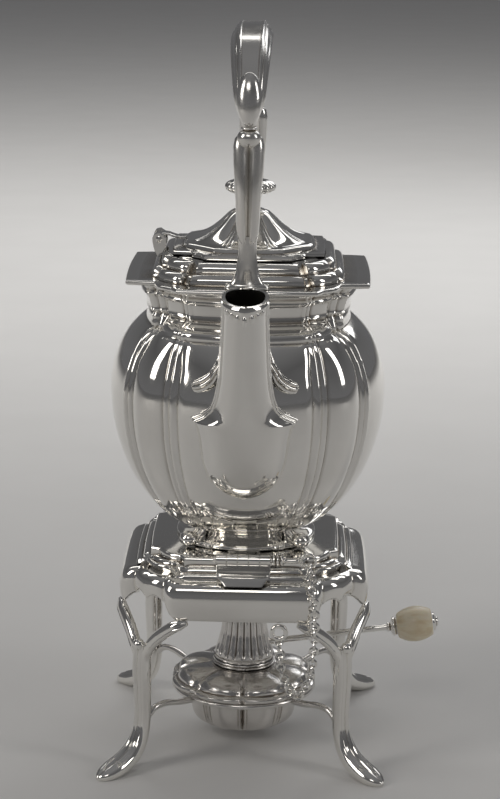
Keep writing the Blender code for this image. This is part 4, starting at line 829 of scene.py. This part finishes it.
def draped(outline, half, share, top):
    """Rings between the hem and a height: share 0 is the hem, 1 the height, at each half width."""
    return level(outline, half, HEM + (top - HEM) * np.reshape(share, (-1, 1)))


apron = smooth([(49.5, 1), (53.6, 0.95), (56, 0.8), (57, 0.54), (56.8, 0.28), (56, 0.08), (55.2, 0)])
lining = np.array([(54.2, 0.02), (55.6, 0.5), (52.4, 0.9), (49, 0.94)])
step_full = smooth([
    (43.1, 95.6), (44.6, 95.6), (45.9, 95), (46.6, 93.9), (46.9, 93.2), (48.4, 93.1), (49.2, 92.6),
    (49.5, 91.6)], 3)
step_flat = smooth([
    (43, 95), (43.7, 94.5), (44.3, 93.9), (45, 93.2), (45.9, 92.6), (47.1, 92.1), (48.4, 91.8),
    (49.5, 91.4)], 3)
deck = smooth([(27, 97.8), (27, 98.95), (34, 99), (41.4, 98.95), (42.7, 98.4), (43, 97.4), (43, 96)], 3)
steps = cushioned(TOP, step_flat, step_full)
steps[..., 2] += WEB * np.interp(step_full[:, 0], (43, 49.5), (0, 2.8))[:, None]
crest = CREST + 0.6 * WEB
platform = skin(level(TOP, *deck.T), steps, draped(SKIRT, *apron.T, crest), draped(SKIRT, *lining.T, crest),
                level(TOP, [44.5, 41.8, 41.8], [91.0, 92.5, 97.8]), loop=True)
piece("stand_platform", [platform], "stand", "stand_frame")

# %% [markdown]
# ## Legs
# Each leg stands on the diagonal: a slim shaft with two reeds and a groove down its outer face, a slipper
# foot, and a fork whose straps curl under the ends of the two aprons, with a bead in the crotch.

# %% legs
out, high, half, depth = smooth([
    (63.5, 58.5, 3.9, 3.6), (64, 52, 4.2, 3.9), (64.1, 44, 4.2, 4), (63.7, 34, 3.9, 3.8),
    (63.5, 27, 3.7, 3.6), (64.1, 19.5, 3.9, 3.7), (66.6, 12.4, 4.4, 4.1), (71.2, 7.2, 5, 4.4),
    (76.6, 4.4, 5.5, 4.2), (81.6, 2.9, 5.5, 3.8), (86, 1.9, 4.6, 2.9), (88.8, 1.2, 2.8, 1.8),
    (90, 0.8, 1, 0.9)], 5).T
section = oval(half, depth, 40, 0.9)
middle = np.abs(section[..., 0]) / half[:, None]
fade = np.interp(out, (60, 82, 89), (1, 1, 0.35))[:, None]
grooves = (bump(middle, 0, 0.16, 0.55) + bump(middle, 0.62, 0.1, 0.12)) * fade
section[..., 1] *= 1 - np.where(section[..., 1] > 0, grooves, bump(middle, 0, 0.3, 0.3))
shaft = carry(np.column_stack([out, 0 * out, high]), section[..., ::-1], up=(0, 1, 0))
shaft[..., 2] = np.maximum(shaft[..., 2], 0)


def strap(m):
    """A branch of the fork: a flat ridged strap from the shaft up and out under the end of an apron."""
    path = smooth([
        (63.5, m * 1.6, 47), (64, m * 2.6, 54), (63.9, m * 4.8, 58.5), (63, m * 8.4, 63.2),
        (61.6, m * 13.6, 67.8), (59.9, m * 18.3, 71.1), (57.2, m * 22.6, 73)])
    share = np.linspace(0, 1, len(path))
    half = np.interp(share, (0, 0.25, 0.6, 0.88, 1), (1.8, 2.6, 2.8, 2.5, 1))
    thick = np.interp(share, (0, 0.25, 0.8, 1), (1.8, 2.4, 2.3, 1))
    band = oval(half, thick, 24, 0.75)
    band[..., 1] *= 1 - bump(np.abs(band[..., 0]) / half[:, None], 0.5, 0.14, 0.3)
    return carry(path, band, up=(1, 0, 0.25))


straps = [strap(m) for m in (-1, 1)]
crotch = ellipsoid((66, 0, 59), (2.8, 2.8, 2.8), 0, 14, 20)
CORNERS = {"front_right": -45, "rear_right": 45, "rear_left": 135, "front_left": -135}
for corner, heading in CORNERS.items():
    skins = [skin(about_axis(grid, heading)) for grid in (shaft, *straps, crotch)]
    piece("cabriole_" + corner, skins, "stand", "leg_" + corner)

# %% burner ring and its arms
RING, RING_HEIGHT, RING_GAUGE = 32.5, 24.2, 1.28
turn = full_turn(14)
hoop = spin(np.column_stack([RING + RING_GAUGE * np.cos(turn), RING_HEIGHT + RING_GAUGE * np.sin(turn)]), 72)
share = np.array((0, 0.25, 0.55, 0.8, 0.94, 1))
bow = np.array((0, 0.3, 1, 0.9, 0, -0.6))
path = smooth(np.column_stack([34.0 + 26.6 * share, 0 * share, RING_HEIGHT + 2.4 * bow]))
arm = wire(path, np.interp(np.linspace(0, 1, len(path)), (0, 0.5, 1), (1.6, 1.45, 1.6)))
arms = [skin(about_axis(arm, heading)) for heading in CORNERS.values()]
ring_nodes = ["burner_ring"] + ["ring_arm_" + corner for corner in sorted(CORNERS)]
piece("burner_cradle", [skin(hoop, loop=True)] + arms, "stand", *ring_nodes, finish=DULL)

# %% [markdown]
# ## Tilt hinge, pin and chain
# Five knuckles share one pin, which pulls out to the right so that the kettle lifts off. A chain of round
# links keeps the pin: it hangs from the pin's ring in front of the apron, and up again to an eye under it.

# %% tilt hinge
HINGE = (0, -47.3, 99.95)
KNUCKLE, KNUCKLE_GAP = 24.5 / 5, 0.3
starts = KNUCKLE * (np.arange(5) - 2.5)
knuckles = [barrel(start, start + KNUCKLE - KNUCKLE_GAP, 2.6, 1.55, HINGE, (1, 0, 0)) for start in starts]
leaf_path = smooth([
    (0, -49, 97.9), (0, -50.4, 96.8), (0, -51.6, 95.9), (0, -53.2, 94.9), (0, -55, 93.3),
    (0, -57, 90.6)], 5)
leaf_half = np.interp(leaf_path[:, 2], (90.6, 94.6, 95.6, 98), (8.4, 11.9, 12.1, 12.1))
leaf = carry(leaf_path, oval(leaf_half, 0.55, 28, 0.25), up=(0, 1, 0.4))
piece("hinge_plate_stand", [skin(leaf)] + knuckles[::2], "stand", "stand_hinge_leaf")
tongue = carry(smooth([(0, -45.4, 100.2), (0, -42, 100), (0, -34.4, 100)], 4), oval(7, 0.6, 24, 0.25))
piece("hinge_plate_kettle", [skin(tongue)] + knuckles[1::2], "kettle", "kettle_hinge_leaf")

# %% pin
profile = smooth([
    (0.4, 24.9), (1.1, 24.4), (1.2, 22), (1.2, 18.4), (2.6, 17.6), (3.3, 16.9), (2.5, 16.2), (2.5, 15.9),
    (3.4, 15.1), (2.5, 14.4), (2.5, 14.1), (3.3, 13.4), (2.4, 12.7), (1.2, 12.5), (1.2, 0), (1.2, -12.5),
    (0.4, -13.1)], 4)
rod = aim(spin(profile, 28), HINGE, (1, 0, 0))


def link(place, radius, gauge, ahead, normal, stretch=1.0, steps=22, sides=10):
    """A round link or links: a small circle carried round a larger one, longer along the way ahead."""
    a, b = full_turn(steps)[:, None], full_turn(sides)[None]
    along = (radius * stretch + gauge * np.cos(b)) * np.cos(a)
    across = (radius + gauge * np.cos(b)) * np.sin(a)
    off = gauge * np.sin(b) + 0 * a
    ahead, normal, place = (np.asarray(v, float)[..., None, None, :] for v in (ahead, normal, place))
    beside = np.cross(normal, ahead)
    return place + along[..., None] * ahead + across[..., None] * beside + off[..., None] * normal


loop_ring = link((28.75, *HINGE[1:]), 3.2, 0.7, (1, 0, 0), (0, 1, 0))
piece("pin_with_rings", [skin(rod), skin(loop_ring, loop=True)], "tilt_pin", "tilt_pin", "pin_ring")

# %% chain
LINK_PITCH = 2.75
route = smooth([
    (28.75, -49.8, 98.45), (29.95, -55, 97.55), (30.75, -59.8, 90.95), (31.95, -60, 81), (32.15, -60, 70),
    (31.75, -60, 61), (30.55, -59.7, 51), (27.55, -59, 43), (24.35, -58.4, 40), (21.35, -57.8, 43.5),
    (17.9, -57, 51), (17.1, -56.2, 57.5), (16.3, -54.6, 64.6)], 10)
length = np.concatenate([[0], np.cumsum(np.linalg.norm(np.diff(route, axis=0), axis=1))])
count = round(length[-1] / LINK_PITCH)
stops = np.linspace(0, length[-1], count)
centres = np.column_stack([np.interp(stops, length, route[:, axis]) for axis in range(3)])
ahead = unit(np.gradient(centres, axis=0))
edgeways = unit(np.cross(ahead, (0.1, 0.98, 0.15)))
facing = np.where((np.arange(count) % 2 == 0)[:, None], edgeways, np.cross(ahead, edgeways))
links = link(centres, 1.7, 0.58, ahead, facing, 1.08, 18, 8)
chain = piece("pin_chain", [skin(grid, loop=True) for grid in links], None, "safety_chain")
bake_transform(chain)
eye_ring = link((16.3, -54.6, 68.8), 3.1, 1, (0, 0, 1), (0, 1, 0))
piece("apron_eye", [skin(eye_ring, loop=True)], "stand", "chain_eye")
print("chain of", count, "links,", round(length[-1]), "mm")

# %% [markdown]
# ## Burner
# The burner echoes the kettle: a bowl of eight broad lobes with a pair of fine ribs between each two, a
# scalloped rim, a lobed dome, and a ribbed gallery that turns with the lever. Here a wave round the axis is
# added to a turned profile, so that the lobes swell and fade with the height.

# %% burner body
LOBES, BURNER_SIDES = 8, 288
phase = ((full_turn(BURNER_SIDES) + math.pi / 2) * LOBES / TAU) % 1.0
lobe = 1 - np.abs(2 * phase - 1) ** 2.4
gap = np.minimum(phase, 1 - phase)
WAVE = 3.6 * lobe - 2.9 + bump(gap, 0.055, 0.028, 1.3)
bowl = smooth([
    (2, 6.8), (14, 6.8), (18.5, 7.1), (21.4, 8.4), (23.4, 11), (24.5, 14.6), (25.1, 19), (25.4, 23),
    (25.6, 25.4)], 5)
rise = np.interp(bowl[:, 1], (7, 8.5, 12, 22, 25.5), (0, 0.6, 1, 1, 0.7))[:, None]
bowl_inside = [(21.8, 25.4), (20.8, 21), (19.4, 13), (15.6, 9), (2, 8.2)]
walls = skin(spin(bowl, BURNER_SIDES, WAVE * rise), spin(bowl_inside, BURNER_SIDES))
piece("burner_lobed_bowl", [walls], "burner", "burner_bowl", finish=DULL)

# %% burner top
rim = smooth([
    (24.6, 25.9), (33, 25.9), (34.3, 26.7), (34.2, 27.8), (32.8, 28.5), (31.8, 28.7), (31.6, 29.4),
    (31, 30.8), (29.2, 32.4), (26, 33.6), (22, 34.2), (17.4, 34.5), (15.6, 34.5), (15.2, 34.6), (13.4, 34.7),
    (12, 34.7)], 5)
rise = np.interp(np.arange(len(rim)), (0, 8, 16, 26, 32, 44, 60), (0.2, 0.85, 0.9, 0.7, 1.15, 1, 0))
under = [(5, 34.7), (5, 33.5), (12, 33.3), (20, 32.6), (26, 31), (28.4, 28.6), (28, 27.2), (24.6, 27.1)]
dome = spin(rim, BURNER_SIDES, WAVE * rise[:, None] * 0.8 - 0.25)
swell = np.interp(dome[:, 0, 0], (14, 19, 27, 32), (0, 1, 1, 0)) * (np.arange(len(rim)) > 25)
dome[..., 2] += swell[:, None] * 1.3 * (lobe - 0.75)
walls = skin(dome, spin(under, BURNER_SIDES), loop=True)
piece("burner_lobed_top", [walls], "burner", "burner_top", finish=DULL)
band = smooth([
    (5, 35), (13.2, 35), (14.7, 35.4), (14.7, 36), (13.9, 36.3), (14.4, 36.6), (14.4, 37.2), (13.2, 37.6),
    (5, 37.6)], 4)
piece("burner_banded_collar", [skin(spin(band, 96), loop=True)], "burner", "burner_collar", finish=DULL)

# %% gallery
GALLERY_FOOT, GALLERY_TALL, GALLERY_SIDES = 37.9, 21.0, 240
share = np.concatenate([[0, 0.02, 0.05, 0.075, 0.1], np.linspace(0.13, 0.93, 22), [0.96, 0.985, 1.0]])
radius = np.interp(share, (0, 0.06, 0.1, 0.3, 0.6, 1), (14, 14.1, 13.6, 12.1, 10.6, 9.6))
radius[:4] += (0.2, 0.35, 0.2, -0.25)
height = GALLERY_FOOT + GALLERY_TALL * share
ribs = 1.5 * np.abs(np.sin(10 * full_turn(GALLERY_SIDES))) ** 0.65 - 1.05
rise = np.interp(share, (0, 0.1, 0.16, 0.85, 0.96, 1), (0, 0, 1, 0.8, 0.5, 0))[:, None]
shell = spin(np.column_stack([radius, height]), GALLERY_SIDES, ribs * rise)
lining = spin(np.column_stack([radius - 1.9, height])[::-4], GALLERY_SIDES)
piece("gallery_ribbed", [skin(shell, lining, loop=True)], "regulator", "gallery", finish=DULL)

# %% lever and knob
LEAN, LEVER_GAUGE = math.radians(8.5), 1.45
LEVER = np.array((math.cos(LEAN), 0, math.sin(LEAN)))
root, tip = np.array(((11.8, 0, 44.65), (68, 0, 53.05)))
rod_path = root + (tip - root) * np.linspace(0, 1, 24)[:, None]
piece("lever_wire", [skin(wire(rod_path, LEVER_GAUGE, 20, up=(0, 1, 0)))], "regulator", "lever_rod")


def turned_on_lever(start, profile, sides=56):
    """A profile turned about the lever's line, starting so far past its tip."""
    return aim(spin(profile, sides), tip + LEVER * start, LEVER, up=(0, 1, 0))


ferrule = smooth([
    (0.5, -1.6), (1.9, -1.5), (2.3, -0.8), (1.9, -0.1), (2.8, 0.4), (4.3, 1.2), (4.5, 2), (3.9, 2.7),
    (4.2, 3.1), (3.6, 3.5), (0.6, 3.5)], 4)
piece("ferrule_rings", [skin(turned_on_lever(0.3, ferrule))], "regulator", "lever_ferrule")
knob = smooth([
    (0.6, 0), (4.6, 0), (5.7, 0.5), (6.6, 1.9), (7.7, 4.6), (8.3, 8.2), (7.9, 11.6), (7, 14.4), (5.9, 16.2),
    (4.8, 16.6), (0.6, 16.6)], 5)
piece("knob_barrel", [skin(turned_on_lever(3.6, knob, 72))], "regulator", "lever_knob", slot="ivory",
      finish=IVORY)
cap = smooth([(4.3, 0), (4.2, 0.7), (3.3, 1.2), (2.4, 1.5), (1.9, 2.3), (0.5, 2.6)], 4)
piece("knob_button", [skin(turned_on_lever(20.5, cap))], "regulator", "knob_cap")

# %% wick
high = np.linspace(13.0, 58.2, 60)
turns, climb = 6 * full_turn(72)[None], 0.9 * high[:, None]
plait = 0.16 * np.cos(turns + climb) + 0.1 * np.cos(turns - climb)
radius = np.interp(high, (13, 57.2, 58.2), (2.35, 2.35, 1.7))
piece("wick_plait", [skin(spin(np.column_stack([radius, high]), 72, plait))], "wick", "wick", slot="cotton",
      finish=COTTON)
